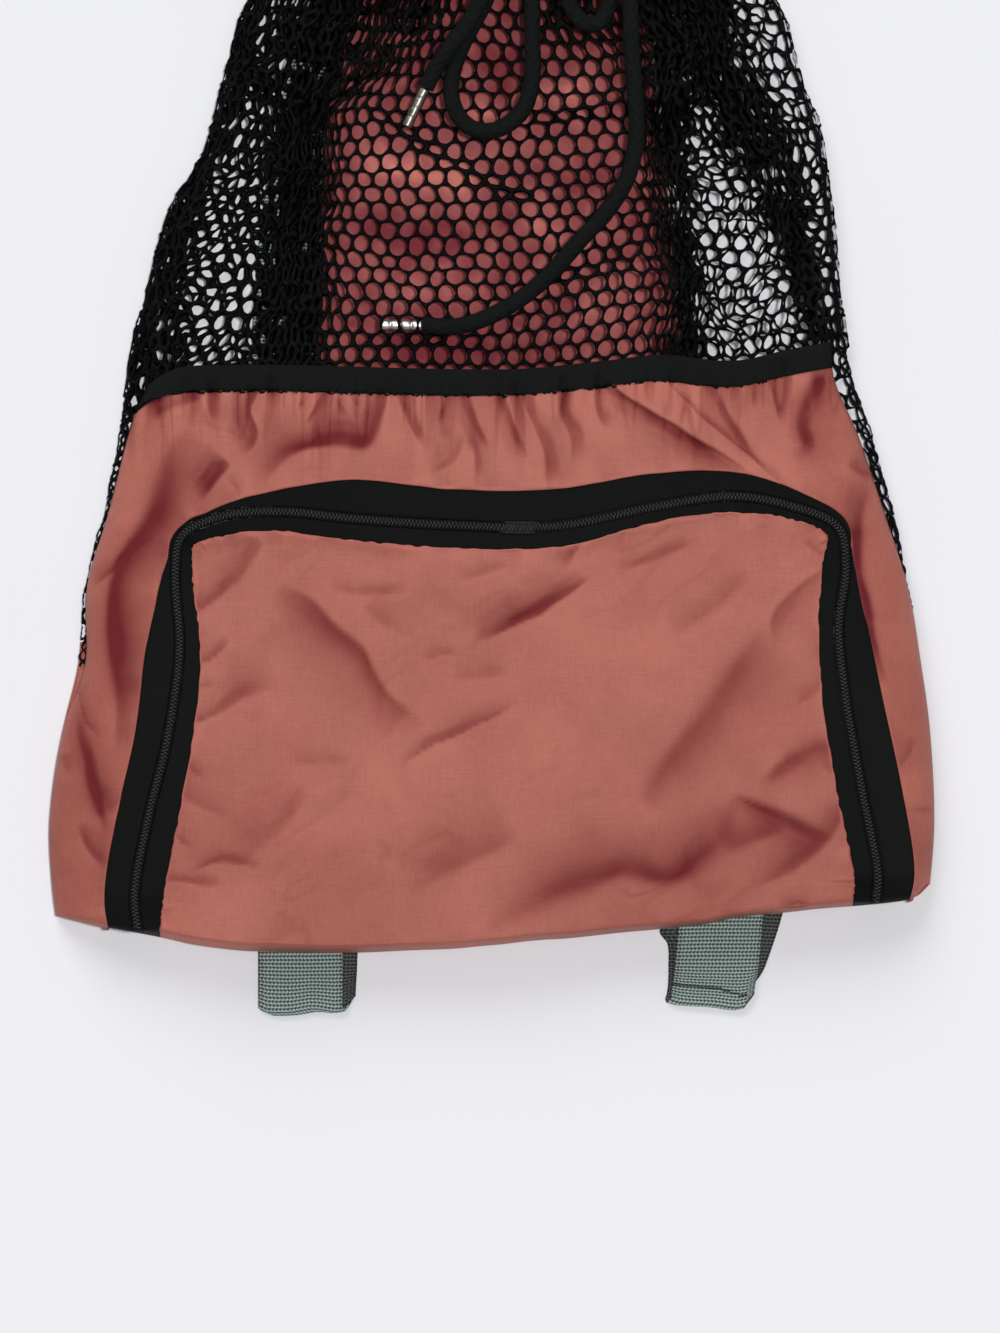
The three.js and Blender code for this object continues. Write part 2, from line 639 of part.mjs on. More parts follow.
function mouthHem() {
  const channel = mouthRing(HEM.width - 2 * HEM.wall, HEM.thickness - 2 * HEM.wall);
  const slotHeight = HEM.thickness + HEM.clear;
  const slot = new THREE.BoxGeometry(SLOT.right - SLOT.left, 2 * SLOT.depth, slotHeight);
  slot.translate((SLOT.left + SLOT.right) / 2, SACK_LENGTH - HEM.width, hemFrontZ);
  const hollow = solid(mouthRing(HEM.width, HEM.thickness)).subtract(solid(channel));
  return geometryOf(hollow.subtract(solid(slot)));
}

// Cords, their tips and the knot
const vector = (point) => new THREE.Vector3(...point);
const cordRoute = (name) => new THREE.CatmullRomCurve3(ROUTES[name].map(vector));
function cordTube(name) {
  const route = cordRoute(name);
  const radius = CORD.diameter / 2;
  const section = new THREE.Shape();
  for (let s = 0; s < CORD.sides; s++) {
    const angle = (2 * Math.PI * s) / CORD.sides;
    const corner = [radius * Math.cos(angle), radius * Math.sin(angle)];
    if (s === 0) section.moveTo(...corner);
    else section.lineTo(...corner);
  }
  section.closePath();
  const step = name === "drawcord_neck" ? CORD.stepInHem : CORD.step;
  const steps = Math.ceil(route.getLength() / step);
  return new THREE.ExtrudeGeometry(section, { steps, extrudePath: route, bevelEnabled: false });
}

function cordTip(cord) {
  const profile = [new THREE.Vector2(0, 0), new THREE.Vector2(TIP.radius, 0)];
  const pitch = TIP.length / (TIP.crimps + 1);
  for (let k = 1; k <= TIP.crimps; k++) {
    profile.push(new THREE.Vector2(TIP.radius, pitch * k - TIP.crimpHalf));
    profile.push(new THREE.Vector2(TIP.radius - TIP.crimp, pitch * k));
    profile.push(new THREE.Vector2(TIP.radius, pitch * k + TIP.crimpHalf));
  }
  profile.push(new THREE.Vector2(TIP.radius, TIP.length - TIP.chamfer));
  profile.push(new THREE.Vector2(TIP.radius - TIP.chamfer, TIP.length));
  profile.push(new THREE.Vector2(0, TIP.length));
  const along = cordRoute(cord).getTangent(1);
  const start = cordRoute(cord).getPoint(1).addScaledVector(along, GAP);
  const upright = new THREE.Vector3(0, 1, 0);
  const geometry = new THREE.LatheGeometry(profile, TIP.sides);
  geometry.applyQuaternion(new THREE.Quaternion().setFromUnitVectors(upright, along));
  return geometry.translate(start.x, start.y, start.z);
}

function cordKnot() {
  const { radius, segments, sides, around, turns, flatten } = KNOT;
  const knot = new THREE.TorusKnotGeometry(radius, CORD.diameter / 2, segments, sides, around, turns);
  return knot.scale(1, flatten, 1).translate(...KNOT_CENTRE);
}

// Assembly, moved so that the origin is under the middle of the bag
const bag = new THREE.Group();
bag.position.y = (LOOP_LENGTH - SACK_LENGTH) / 2;
function add(name, geometry, material) {
  const mesh = new THREE.Mesh(geometry, material);
  mesh.name = name;
  bag.add(mesh);
}

add("front_panel", frontPanel(), CORAL);
add("pocket_door", pocketDoor(), CORAL);
add("zip_gusset", zipBand("gusset"), BLACK_TAPE);
add("zip_coil", zipBand("coil", COIL.proud), BLACK_TAPE);
add("zip_tape", zipBand("tape"), BLACK_TAPE);
add("panel_binding", panelBinding(), BLACK_TAPE);
add("front_net", frontNet(), BLACK_NET);
add("back_net_left", backNet(leftFold, (y) => stripLeft(y) - NET_SEAM), BLACK_NET);
add("back_net_right", backNet((y) => stripRight(y) + NET_SEAM, rightFold), BLACK_NET);
add("back_strip", backStrip(), CORAL);
add("base_back", baseBack(), CORAL);
add("mouth_hem", mouthHem(), BLACK_TAPE);
add("strap_left", strap("left"), WEBBING_GREY);
add("strap_right", strap("right"), WEBBING_GREY);
for (const name of Object.keys(ROUTES)) {
  add(name, cordTube(name), BLACK_CORD);
}
add("cord_knot", cordKnot(), BLACK_CORD);
add("cord_tip_left", cordTip("cord_tail_left"), NICKEL);
add("cord_tip_right", cordTip("cord_tail_right"), NICKEL);

const part = new THREE.Group();
part.add(bag);
export default part;
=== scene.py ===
"""The look of a drawstring net bag that lies empty on its back.

Tables, routes and sizes are in the bag's own millimetres: X to the right, Y up from the base edge and
Z up from the floor. to_frame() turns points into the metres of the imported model.
"""
import math

import bpy
import numpy as np
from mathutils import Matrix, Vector


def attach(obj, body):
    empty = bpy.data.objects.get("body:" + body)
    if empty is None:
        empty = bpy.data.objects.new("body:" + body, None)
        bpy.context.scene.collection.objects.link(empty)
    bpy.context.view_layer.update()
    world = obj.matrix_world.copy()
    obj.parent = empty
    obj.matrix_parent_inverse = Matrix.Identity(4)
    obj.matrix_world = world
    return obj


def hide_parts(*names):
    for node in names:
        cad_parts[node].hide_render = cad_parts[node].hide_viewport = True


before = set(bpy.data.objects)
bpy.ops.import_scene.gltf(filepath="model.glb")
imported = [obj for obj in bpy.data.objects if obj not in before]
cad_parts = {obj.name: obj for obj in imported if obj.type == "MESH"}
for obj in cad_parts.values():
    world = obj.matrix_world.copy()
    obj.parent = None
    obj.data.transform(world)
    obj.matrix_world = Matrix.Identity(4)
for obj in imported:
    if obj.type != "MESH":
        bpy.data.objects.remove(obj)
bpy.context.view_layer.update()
scene = bpy.context.scene

# Sizes
MM = 0.001
SACK_LENGTH = 516
LOOP_LENGTH = 30
TO_ORIGIN = (LOOP_LENGTH - SACK_LENGTH) / 2
CLOTH = 1.2
GAP = 0.3
SIDE_ROLL = 45
BASE_ROLL = 9
BASE_HEIGHT = 140
BINDING = {"height": 12, "proud": 0.9}
COIL = {"width": 4.4, "proud": 0.35, "pitch": 1.65}
LEAST_TAPE = 1.4
WEBBING = {"width": 38, "thickness": 1.8, "sewn": 18, "rib": 1.73}
HEM = {"width": 16, "thickness": 11, "wall": 1.2, "half_span": 66, "centre_x": 6, "clear": 12.5}
SLOT = {"left": -27, "right": 39}
CORD = {"diameter": 7.5, "sides": 32, "step": 0.7}
TIP = {"length": 19, "radius": 2.5, "crimps": 3, "crimp": {"cord_tip_left": 0.12, "cord_tip_right": 0.45}}
KNOT = {"radius": 8.4, "flatten": 0.66, "centre": (8, 478, 31.5)}
NET = {
    "pitch": 8.4,
    "row": 7.0,
    "half_height": 0.62,
    "round": 1.6,
    "least_hole": 0.06,
    "jitter": 0.2,
    "loosened": 1.5,
}
NET_TOP = SACK_LENGTH - HEM["width"] - GAP
STRAP_LIFT = WEBBING["thickness"] + GAP

# The photo's frame: its size in pixels, its scale, and the pixel of the base edge's middle
PHOTO = {"width": 1000, "height": 1333, "px_per_mm": 2.2, "base_x": 492, "base_y": 950}
CAMERA_HEIGHT = 9.0


def table(names, *rows):
    """Columns of a short table by their names."""
    return dict(zip(names.split(), np.array(rows, dtype=float).T))


OUTLINE = table(
    "y left right tuck_left tuck_right loft",
    (0, -196, 195, 0, 0, 24),
    (30, -200, 199, 0, 0, 25),
    (60, -201, 201, 0, 0, 27),
    (100, -195, 199, 0, 0, 28),
    (130, -188, 195, 3, 0, 27),
    (165, -185, 189, 1, 0, 25),
    (200, -176, 182, 2, 4, 23),
    (235, -169, 172, 4, 6, 20),
    (262, -166, 163, 10, 8, 16),
    (290, -160, 159, 3, 3, 14.8),
    (330, -149, 155, 0, 0, 14.8),
    (367, -130, 150, 0, 0, 14.8),
    (400, -121, 139, 0, 0, 14.8),
    (432, -112, 129, 0, 0, 14.8),
    (466, -92, 104, 0, 0, 16.5),
    (500, -66, 78, 0, 0, 19.5),
)
BASE_EDGE = table(
    "x y", (-198, 15), (-174, 10), (-108, 0), (-21, 1), (75, 10), (133, 17), (190, 23), (197, 30)
)
BINDING_LOW = table(
    "x y",
    (-166, 241),
    (-158, 248.5),
    (-148, 253),
    (-125, 254),
    (-100, 254),
    (4, 252),
    (50, 256),
    (75, 258.5),
    (101, 256),
    (114, 256.5),
    (134, 261),
    (166, 267),
)
BACK_STRIP = table(
    "y left right", (140, -80, 88), (270, -79, 86), (390, -74, 75), (432, -62, 68), (500, -48, 56)
)
STRAP_RUNS = table(
    "y left right",
    (-30, -81, 97),
    (20, -80, 114),
    (60, -84, 120),
    (140, -88, 108),
    (260, -91, 68),
    (380, -78, 56),
    (494, -40, 48),
)
STRAP_LOOPS = table("y left right", (-30, -87, 100), (60, -87, 108))

# The zip's coil from its lower left end over the arch to its lower right end
ZIP = table(
    "x y gusset tape",
    (-160.5, 9, 11, 8),
    (-162, 25, 11.6, 11),
    (-155.5, 61, 12, 11),
    (-147, 96, 12.8, 9),
    (-141.5, 137, 13.2, 7),
    (-143.5, 171, 3.5, 5.5),
    (-140.5, 188, 0, 4.5),
    (-122, 197, 2.5, 6.5),
    (-95, 199, 8, 6.5),
    (-64, 196, 15.5, 7.5),
    (-20, 193, 14, 8),
    (30, 192.5, 14.5, 7),
    (73, 201, 13, 4.5),
    (108, 206, 9, 5),
    (134, 202, 5.5, 3.5),
    (157, 192, 2.5, 4),
    (160.5, 174, 2, 8.5),
    (157.2, 148, 11, 7),
    (159.8, 118, 14.2, 8),
    (167.6, 73, 16, 9),
    (175, 34, 14.8, 8.5),
    (174, 21.5, 12.5, 8),
)
ZIP_CORNERS = (6, 15)
LEG, ARCH = 9, 28

# Valleys of the cloth: the line of each, its depth, its reach to both sides (one for all of it, or one for
# each point), how much further it reaches to its left than to its right, and how many of its ends fade
# out. A negative depth is a ridge.
# Their depth also sets painted shade in the cloth's colour along the valleys, and painted light along the
# strip's ridges
PANEL_FOLDS = [
    (
        [(-136, 236), (-147, 222), (-153, 205), (-157, 193), (-164, 181), (-171, 168), (-173, 154),
         (-172, 137), (-170, 120), (-169, 105), (-171.5, 86)],
        5.2, [7, 12.5, 12.5, 10.5, 9, 8, 8, 8, 8, 6, 3.5], 0.3, 2,
    ),
    ([(-166, 177), (-174, 170.5), (-181, 165)], 3.0, [4, 3, 2], 0, 1),
    (
        [(-106, 254), (-110, 245), (-107.5, 235), (-109, 229), (-114, 224)],
        3.6, [2.5, 3, 4.5, 3.5, 2], -0.5, 1,
    ),
    ([(-119, 221), (-123, 217), (-127, 211.5), (-132, 204)], 4.8, [2.5, 4.5, 4.5, 3], -0.5, 2),
    ([(-120, 213), (-117, 211), (-114, 206)], 1.2, 1.2, 0, 2),
    ([(-127, 254), (-127, 247), (-126, 238)], 2.2, 2.6, 0, 1),
    ([(-134, 251), (-146, 247), (-157, 240)], 2.4, [4, 5, 6], 0, 1),
    (
        [(-49.5, 252), (-51, 245), (-54, 235), (-58, 229.5), (-70, 230), (-83, 229), (-93, 224.5),
         (-101, 216.5), (-109, 208)],
        4.8, [3.5, 4.5, 5.5, 6.5, 6.5, 4.5, 5, 5, 4], -0.35, 1,
    ),
    ([(-85, 254), (-86, 250), (-88, 245)], 2.0, 1.6, 0, 1),
    ([(-77, 252), (-80, 246), (-85, 237)], 2.6, 2.0, 0, 1),
    ([(-69, 254), (-69, 249), (-68, 241)], 2.2, 1.8, 0, 1),
    ([(-64, 252), (-62, 249), (-60, 246)], 1.4, 1.6, 0, 1),
    ([(-42, 252), (-38, 242), (-28, 225)], 2.4, 1.8, 0.3, 1),
    ([(-21, 250), (-22, 246), (-24, 238)], 2.2, 1.8, 0, 1),
    ([(-11, 251), (-7, 238), (-1, 226)], 3.4, 2.1, -0.3, 1),
    ([(-12, 234), (-18, 223), (-28, 216)], 1.8, 2.4, 0, 2),
    ([(-9, 232), (-7, 224), (-6, 214)], 2.0, 1.6, 0, 2),
    ([(5, 250), (10, 237), (16, 222)], 3.4, 2.2, -0.3, 1),
    ([(14, 250), (22, 234), (26, 220), (25, 206)], 2.6, [1.8, 2.6, 3.2, 3], 0, 1),
    ([(33, 254), (32, 245), (37, 233), (36, 217)], 2.6, [1.8, 2.6, 3.2, 3], 0, 1),
    ([(47, 256), (48, 247), (54, 234)], 2.4, 2.0, 0, 1),
    (
        [(54, 256), (63, 248), (75, 241.5), (90, 233), (105, 223.5), (122, 212.5)],
        4.8, [2.5, 3.5, 4, 4, 4, 2.5], -0.4, 1,
    ),
    ([(81, 257), (93, 244), (109, 231), (125, 217), (140, 203)], 2.2, 0.9, 0.6, 1),
    ([(101, 254), (105, 244), (113, 232), (119, 222)], 3.4, 2.2, -0.2, 1),
    ([(119, 258), (119, 253), (118, 246)], 2.0, 1.8, 0, 1),
    ([(126, 259), (129, 251), (131, 237)], 2.4, 2.1, 0, 1),
    ([(148, 258), (143, 248), (140.5, 238), (143, 229), (135, 222)], 4.8, [4, 5, 5.5, 4.5, 2.5], 0.2, 1),
    ([(161, 221), (167, 217), (175, 214.5)], 3.2, [3, 3.5, 2], 0, 2),
    (
        [(171, 214), (167, 203), (165.5, 190), (166, 175), (168.5, 160), (172, 146), (175.5, 134),
         (178, 120)],
        5.0, [4, 6, 6.5, 6.5, 6, 5, 4, 3], -0.3, 2,
    ),
    ([(183, 82), (188, 88), (192, 97)], 1.6, 2.5, 0, 2),
    ([(189, 63), (194, 63.4), (202, 63.8)], 1.6, 0.7, 0, 1),
    ([(-187, 113), (-186, 94), (-182, 79), (-178, 66), (-175, 52)], 4.4, [2.5, 4, 4, 3.5, 2], 0.1, 2),
    ([(-189, 121), (-184, 104), (-177, 96)], 1.8, 1.3, 0, 2),
    ([(-188, 57), (-182, 46), (-175.5, 37)], 3.0, [2.5, 3.5, 2.5], 0, 2),
    ([(-196, 89), (-194, 85), (-192, 80)], 1.6, 2.6, 0, 2),
]
DOOR_FOLDS = [
    (
        [(-97, 166), (-84, 159), (-73, 147.5), (-59, 135), (-52.5, 124), (-46, 113), (-30, 103)],
        3.4, [10, 8, 5.5, 4, 4, 4.5, 4], -0.4, 2,
    ),
    ([(-41, 85), (-27, 93), (-10, 101), (12, 112)], 2.8, [2, 2.4, 2.4, 1.6], 0.5, 2),
    ([(-7, 140), (8, 146.5), (25, 155.5), (35, 161.5), (44, 169)], 4.6, [2, 4, 4.4, 3, 2], 0.45, 2),
    ([(-32, 132), (-24, 134), (-16, 135)], 1.6, 1.4, 0, 2),
    ([(-18, 125), (-5, 125), (8, 126)], 1.0, 4, 0, 2),
    ([(-16, 169), (-4, 171), (8, 174)], 1.2, 4, 0, 2),
    ([(-73, 164), (-57, 162), (-38, 163)], 1.5, 2.6, 0, 2),
    ([(-58, 157), (-52, 151), (-45, 146)], 1.0, 3.5, 0, 2),
    (
        [(-3, 9), (22, 23), (44, 33), (60, 36), (78, 33), (90, 39), (103, 52), (112, 68)],
        3.7, [5, 8, 8, 7, 6.5, 8, 9, 4], 0.2, 2,
    ),
    ([(12, 53), (-10, 42), (-36, 25)], 1.5, [8, 9, 7], 0, 2),
    ([(40, 185), (37, 180), (32, 172)], 2.4, 2.4, 0, 1),
    ([(55, 172), (73, 178), (92, 185)], 1.6, 2.6, 0, 2),
    ([(147, 171), (136, 161), (129, 150), (128, 134)], 2.0, [2, 4, 5, 4], 0, 1),
    ([(82, 144), (100, 157), (117, 169)], 1.3, 6, 0, 2),
    ([(141, 185.5), (146, 181.5), (152, 178.5)], 1.5, 1.6, 0, 2),
    ([(126, 147), (115, 131), (103, 113), (88, 94), (76, 78), (68, 64)], 2.6, [7, 9, 9, 8, 7, 5], 0.2, 2),
    ([(157, 94), (145, 91), (136, 86), (128, 79), (119, 75)], 3.0, [4.5, 5.5, 5, 3.5, 1.5], 0.2, 1),
    ([(108, 71), (119, 66.5), (131, 60.5), (144, 54), (153, 50)], 3.6, [2, 3.5, 5, 5, 3], -0.25, 2),
    ([(134, 56), (118, 50), (104, 45)], 2.4, 8, 0, 2),
    ([(160, 66), (152, 52), (137, 39), (113, 26)], 2.6, [3, 5, 5, 3], 0, 1),
    ([(148, 118), (143, 115), (137, 111)], 1.4, 2.2, 0, 1),
    ([(131, 19), (137, 21), (144, 21)], 1.8, 1.8, 0, 2),
    ([(148, 84), (153, 82), (159, 79)], 1.4, 1.8, 0, 2),
    ([(-135, 153), (-125, 161), (-114, 170.5)], 2.8, [2, 3, 4], 0, 1),
    ([(-119, 165), (-112, 175), (-104, 186)], 2.2, 5, 0, 2),
    ([(-135, 130), (-127, 133), (-118, 142)], 2.6, 1.9, 0, 1),
    ([(-135, 119), (-131, 120), (-124, 120.5)], 1.6, 1.6, 0, 1),
    ([(-138, 102), (-124, 108), (-114, 116), (-94, 121)], 2.5, [2, 3, 4.5, 4], 0, 1),
    ([(-140, 86), (-136, 82), (-129, 77)], 2.0, 1.9, 0, 1),
    ([(-139, 69), (-130, 65), (-119, 60)], 1.2, 3.0, 0, 1),
    ([(-147, 55), (-142, 51), (-135, 46)], 1.8, 1.9, 0, 1),
    ([(-137, 34), (-127, 40), (-118, 40.6), (-105, 38)], 2.6, [1.4, 2, 2.2, 2], 0, 2),
    ([(-149, 33), (-136, 31), (-120, 29)], 2.2, 2.1, 0, 1),
    ([(-92, 85), (-78, 85), (-63, 85)], 1.0, 2.6, 0, 2),
    ([(-112, 42), (-98, 55), (-83, 74)], 1.2, 6, 0, 2),
]
STRIP_FOLDS = [
    ([(-66, 354), (-34, 354), (8, 342)], -4.2, 10, 0, 2),
    ([(-16, 378), (-6, 381), (4, 380)], -3.4, 7, 0, 2),
    ([(8, 384), (30, 391), (52, 388)], -3.2, 8, 0, 2),
    ([(8, 334), (22, 328), (36, 320)], -3.0, 8, 0, 2),
    ([(36, 290), (54, 296), (70, 306)], -2.2, 9, 0, 2),
    ([(-60, 302), (-30, 300), (0, 300)], -2.2, 8, 0, 2),
    ([(-10, 404), (6, 398), (12, 410)], 2.6, 12, 0, 2),
    ([(-64, 326), (-30, 324), (0, 322)], 1.8, 9, 0, 2),
    ([(20, 352), (40, 346), (60, 352)], 1.4, 9, 0, 2),
    ([(-70, 276), (-20, 274), (40, 272)], 2.4, 9, 0, 2),
]

# Drag creases of the front net: the line of each, its rise and its reach
NET_CREASES = [
    ([(-66, 391), (-40, 372), (-10, 353), (12, 343), (38, 341)], 1.2, 7),
    ([(12, 375), (38, 379), (62, 390)], 1.0, 6),
    ([(10, 299), (36, 305), (72, 321)], 1.2, 6),
    ([(-62, 399), (-42, 409), (-20, 422)], 1.0, 6),
    ([(-66, 275), (-34, 277), (-4, 275)], 0.6, 6),
]

# Where the drawn-in net bunches: the middle and the spread of each bunch, and how far its layers close
# the net
BUNCHES = {
    "left_in": table(
        "y middle spread close",
        (262, -89, 15.5, 1.3), (300, -89, 15.5, 1.3), (330, -88, 15, 1.2), (345, -86.5, 14.5, 1.1),
        (370, -83, 13.5, 1), (385, -78, 15, 1.2), (400, -67, 25, 1.7), (432, -53, 34, 2), (500, -40, 22, 2),
    ),
    "left_mid": table(
        "y middle spread close",
        (262, -118, 18, 0.1), (330, -112, 14, 0.15), (352, -110, 13, 0.2), (375, -106, 12, 0.3),
        (395, -102, 12, 0.4), (425, -98, 12, 0.3), (500, -60, 10, 0),
    ),
    "left_out": table(
        "y middle spread close",
        (262, -153, 12, 0.9), (285, -151, 11.5, 0.9), (310, -146, 9.5, 0.9), (345, -136, 6.5, 0.9),
        (370, -124, 6, 0.9), (400, -115, 5.5, 0.9), (432, -105, 6, 0.9), (500, -56, 9, 1),
    ),
    "right_in": table(
        "y middle spread close",
        (262, 85.5, 8.5, 1.3), (300, 85, 9, 1.3), (330, 82, 8.5, 1.3), (350, 79.5, 9, 1.3),
        (370, 78, 9.5, 1.4), (385, 80, 13, 1.5), (400, 84, 19, 1.6), (432, 82, 19, 1.8), (500, 54, 18, 1.8),
    ),
    "right_out": table(
        "y middle spread close",
        (262, 150, 5, 1), (285, 148, 6, 1), (310, 141, 8, 1), (345, 131, 11, 1), (370, 118, 16, 1),
        (400, 104, 15, 1), (432, 96, 13, 1), (500, 68, 8, 1),
    ),
    "right_top": table(
        "y middle spread close",
        (262, 42, 14, 0), (400, 42, 14, 0), (415, 42, 18, 0.7), (432, 41, 22, 1.5), (500, 36, 22, 1.8),
    ),
}

# The drawcord's routes, laid on the front net
ROUTES = {
    "drawcord_neck": [
        (0.5, 491.5, 29.6), (-4, 496, 29.3), (-11, 501.5, 29.1), (-20, 506, 29), (-32, 508, 29),
        (-48.2, 508, 29), (-56.6, 508, 25.6), (-60, 508, 17.2), (-56.6, 508, 8.9), (-48.2, 508, 5.5),
        (-30, 508, 5.5), (6, 508, 5.5), (42, 508, 5.5), (60.2, 508, 5.5), (68.6, 508, 8.9),
        (72, 508, 17.2), (68.6, 508, 25.6), (60.2, 508, 29), (44, 508, 29), (32, 506, 29),
        (23, 501.5, 29.1), (17.5, 496.5, 29.3), (14.5, 491.5, 29.6),
    ],
    "cord_tail_left": [
        (-4, 468, 33), (-3.2, 458, 33), (-2.8, 446, 32.6), (-4, 435, 32.3), (-7.5, 425.5, 32.2),
        (-13, 417, 31.8), (-17.5, 411.5, 30.9), (-21.5, 406.3, 29), (-25.2, 400.4, 26.4),
        (-28.2, 395, 24.6), (-30.2, 391, 24.4),
    ],
    "cord_loop_left": [
        (3, 464, 27.2), (3.6, 455, 26.2), (1.6, 443, 25), (-3.5, 429.5, 24.2), (-10, 417, 24),
        (-15.6, 405.5, 24), (-18.4, 393, 24), (-17.2, 382.5, 24), (-11.5, 374.5, 24), (-2.7, 371.5, 24),
        (7, 374.5, 24), (14.5, 382, 24), (18.2, 395.5, 24), (18.3, 411.5, 24), (18, 431, 24.2),
        (17, 444, 25), (15.6, 455, 26.2), (14, 464, 27.2),
    ],
    "cord_loop_right": [
        (24.5, 467, 27.6), (27.5, 458, 26.6), (30.5, 447, 25.3), (33, 436, 24.5), (36.5, 426.5, 24.1),
        (42, 420.5, 24), (48.5, 421, 24), (52.5, 427.5, 24), (52.8, 437, 24.6), (49.5, 448, 26),
        (43.5, 458, 28.6), (36, 467, 31.2), (29.5, 473.5, 32.2),
    ],
    "cord_tail_right": [
        (26, 487, 28.8), (35, 484, 28.8), (45, 476, 28.3), (54, 463.5, 27), (59.5, 449, 25.4),
        (62.3, 432, 24.4), (63.2, 410, 24), (65, 388, 24), (65.3, 367, 24), (61.4, 350.5, 24),
        (51.5, 334.5, 24), (39.5, 321.5, 24), (28, 308.5, 24), (15, 297, 24), (0.5, 288.3, 24),
        (-15.5, 283.2, 24), (-31.5, 283.4, 23.8),
    ],
}


# Curves and waves
def column(rows, by, name):
    """A smooth function through one column of a table, level beyond its ends."""
    at, value = rows[by], rows[name]
    slope = np.empty_like(value)
    slope[1:-1] = (value[2:] - value[:-2]) / (at[2:] - at[:-2])
    slope[0] = (value[1] - value[0]) / (at[1] - at[0])
    slope[-1] = (value[-1] - value[-2]) / (at[-1] - at[-2])

    def smooth(x):
        x = np.clip(x, at[0], at[-1])
        i = np.clip(np.searchsorted(at, x, side="right") - 1, 0, len(at) - 2)
        span = at[i + 1] - at[i]
        t = (x - at[i]) / span
        rise = t * t * (3 - 2 * t)
        leave = t * (1 - t) ** 2 * span * slope[i]
        arrive = t * t * (t - 1) * span * slope[i + 1]
        return value[i] + (value[i + 1] - value[i]) * rise + leave + arrive

    return smooth


def curve_through(points):
    """A smooth curve through points, as a function of 0 to 1 that steps evenly from point to point."""
    points = np.asarray(points, float)
    ends = 2 * points[[0, -1]] - points[[1, -2]]
    knots = np.vstack([ends[:1], points, ends[1:]])
    gap = np.sum(np.diff(knots, axis=0) ** 2, axis=1) ** 0.25

    def at(t):
        t = np.asarray(t, float) * (len(points) - 1)
        i = np.clip(t.astype(int), 0, len(points) - 2)
        f = (t - i)[..., None]
        p0, p1, p2, p3 = (knots[i + k] for k in range(4))
        d0, d1, d2 = (gap[i + k][..., None] for k in range(3))
        leave = ((p1 - p0) / d0 - (p2 - p0) / (d0 + d1) + (p2 - p1) / d1) * d1
        arrive = ((p2 - p1) / d1 - (p3 - p1) / (d1 + d2) + (p3 - p2) / d2) * d1
        square = f**2 * (3 * (p2 - p1) - 2 * leave - arrive)
        cube = f**3 * (2 * (p1 - p2) + leave + arrive)
        return p1 + f * leave + square + cube

    return at


def evenly(points, step):
    """Points along a dense line, about step apart."""
    length = np.concatenate([[0], np.cumsum(np.linalg.norm(np.diff(points, axis=0), axis=1))])
    count = max(2, round(length[-1] / step) + 1)
    at = np.linspace(0, length[-1], count)
    return np.stack([np.interp(at, length, part) for part in points.T], -1)


def lerp(a, b, t):
    return a + (b - a) * t


def smoothstep(x, low, high):
    t = np.clip((x - low) / (high - low), 0, 1)
    return t * t * (3 - 2 * t)


def unit(vectors):
    return vectors / np.maximum(np.linalg.norm(vectors, axis=-1, keepdims=True), 1e-12)


def noise(x, y, size, seed):
    """Smooth random waves from -1 to 1, about size across."""
    grid = np.random.default_rng(seed).uniform(-1, 1, (64, 64))
    u, v = np.broadcast_arrays(np.asarray(x) / size, np.asarray(y) / size)
    i, j = np.floor(u).astype(int), np.floor(v).astype(int)
    a, b = u - i, v - j
    a, b = a * a * a * (a * (6 * a - 15) + 10), b * b * b * (b * (6 * b - 15) + 10)
    pick = lambda di, dj: grid[(i + di) % 64, (j + dj) % 64]
    return lerp(lerp(pick(0, 0), pick(1, 0), a), lerp(pick(0, 1), pick(1, 1), a), b)


def beside_line(x, y, line):
    """Distance of points from a line, positive on its left, and how far along it they are, 0 to 1."""
    start, step = line[:-1], np.diff(line, axis=0)
    dx, dy = x[:, None] - start[:, 0], y[:, None] - start[:, 1]
    t = np.clip((dx * step[:, 0] + dy * step[:, 1]) / (step**2).sum(1), 0, 1)
    away = (dx - t * step[:, 0]) ** 2 + (dy - t * step[:, 1]) ** 2
    best = away.argmin(1)
    row = np.arange(len(x))
    side = np.sign(step[best, 0] * dy[row, best] - step[best, 1] * dx[row, best])
    return side * np.sqrt(away[row, best]), (best + t[row, best]) / len(step)


def fold_depth(x, y, folds, lean=0.0, window=4.2):
    """Depth of a list of valleys at points: each a sharp dent in a wider hollow, a little uneven.

    Valleys that reach evenly to both sides get a lean to their upper right.
    """
    total = np.zeros(np.shape(x))
    for points, depth, reach, skew, fading in folds:
        track = np.column_stack([points, np.broadcast_to(np.asarray(reach, float), len(points))])
        line, width = np.split(curve_through(track)(np.linspace(0, 1, 4 * len(points))), [2], axis=1)
        low, high = line.min(0) - window * width.max(), line.max(0) + window * width.max()
        near = (x > low[0]) & (x < high[0]) & (y > low[1]) & (y < high[1])
        if near.any():
            away, along = beside_line(x[near], y[near], line)
            span = np.interp(along, np.linspace(0, 1, len(line)), width[:, 0])
            away = away + 0.22 * span * noise(x[near], y[near], 2.5 * width.mean() + 4, 51)
            along_x, along_y = np.subtract(points[-1], points[0])
            side = skew or lean * np.sign(0.85 * along_x - 0.5 * along_y)
            uneven = np.maximum(1 + 1.5 * side * np.sign(away), 0.35)
            span = span * (1 + 0.2 * noise(x[near], y[near], 14, 52))
            dent = np.exp(-((away / span / uneven / 0.6) ** 2))
            hollow = np.exp(-((away / span / np.minimum(uneven, uneven**2) / 1.6) ** 2))
            run = np.linalg.norm(np.diff(line, axis=0), axis=1).sum()
            streaks = noise(along * run / 4, away, 2.6, 53) * np.exp(-((width.mean() / 5) ** 2))
            shape = 0.5 * (dent + hollow) * (1 + 0.45 * streaks)
            fade = 1 - smoothstep(along, 0.65, 1.0)
            if fading == 2:
                fade = np.sqrt(fade * smoothstep(along, 0, 0.3))
            total[near] += depth * shape * fade
    return total


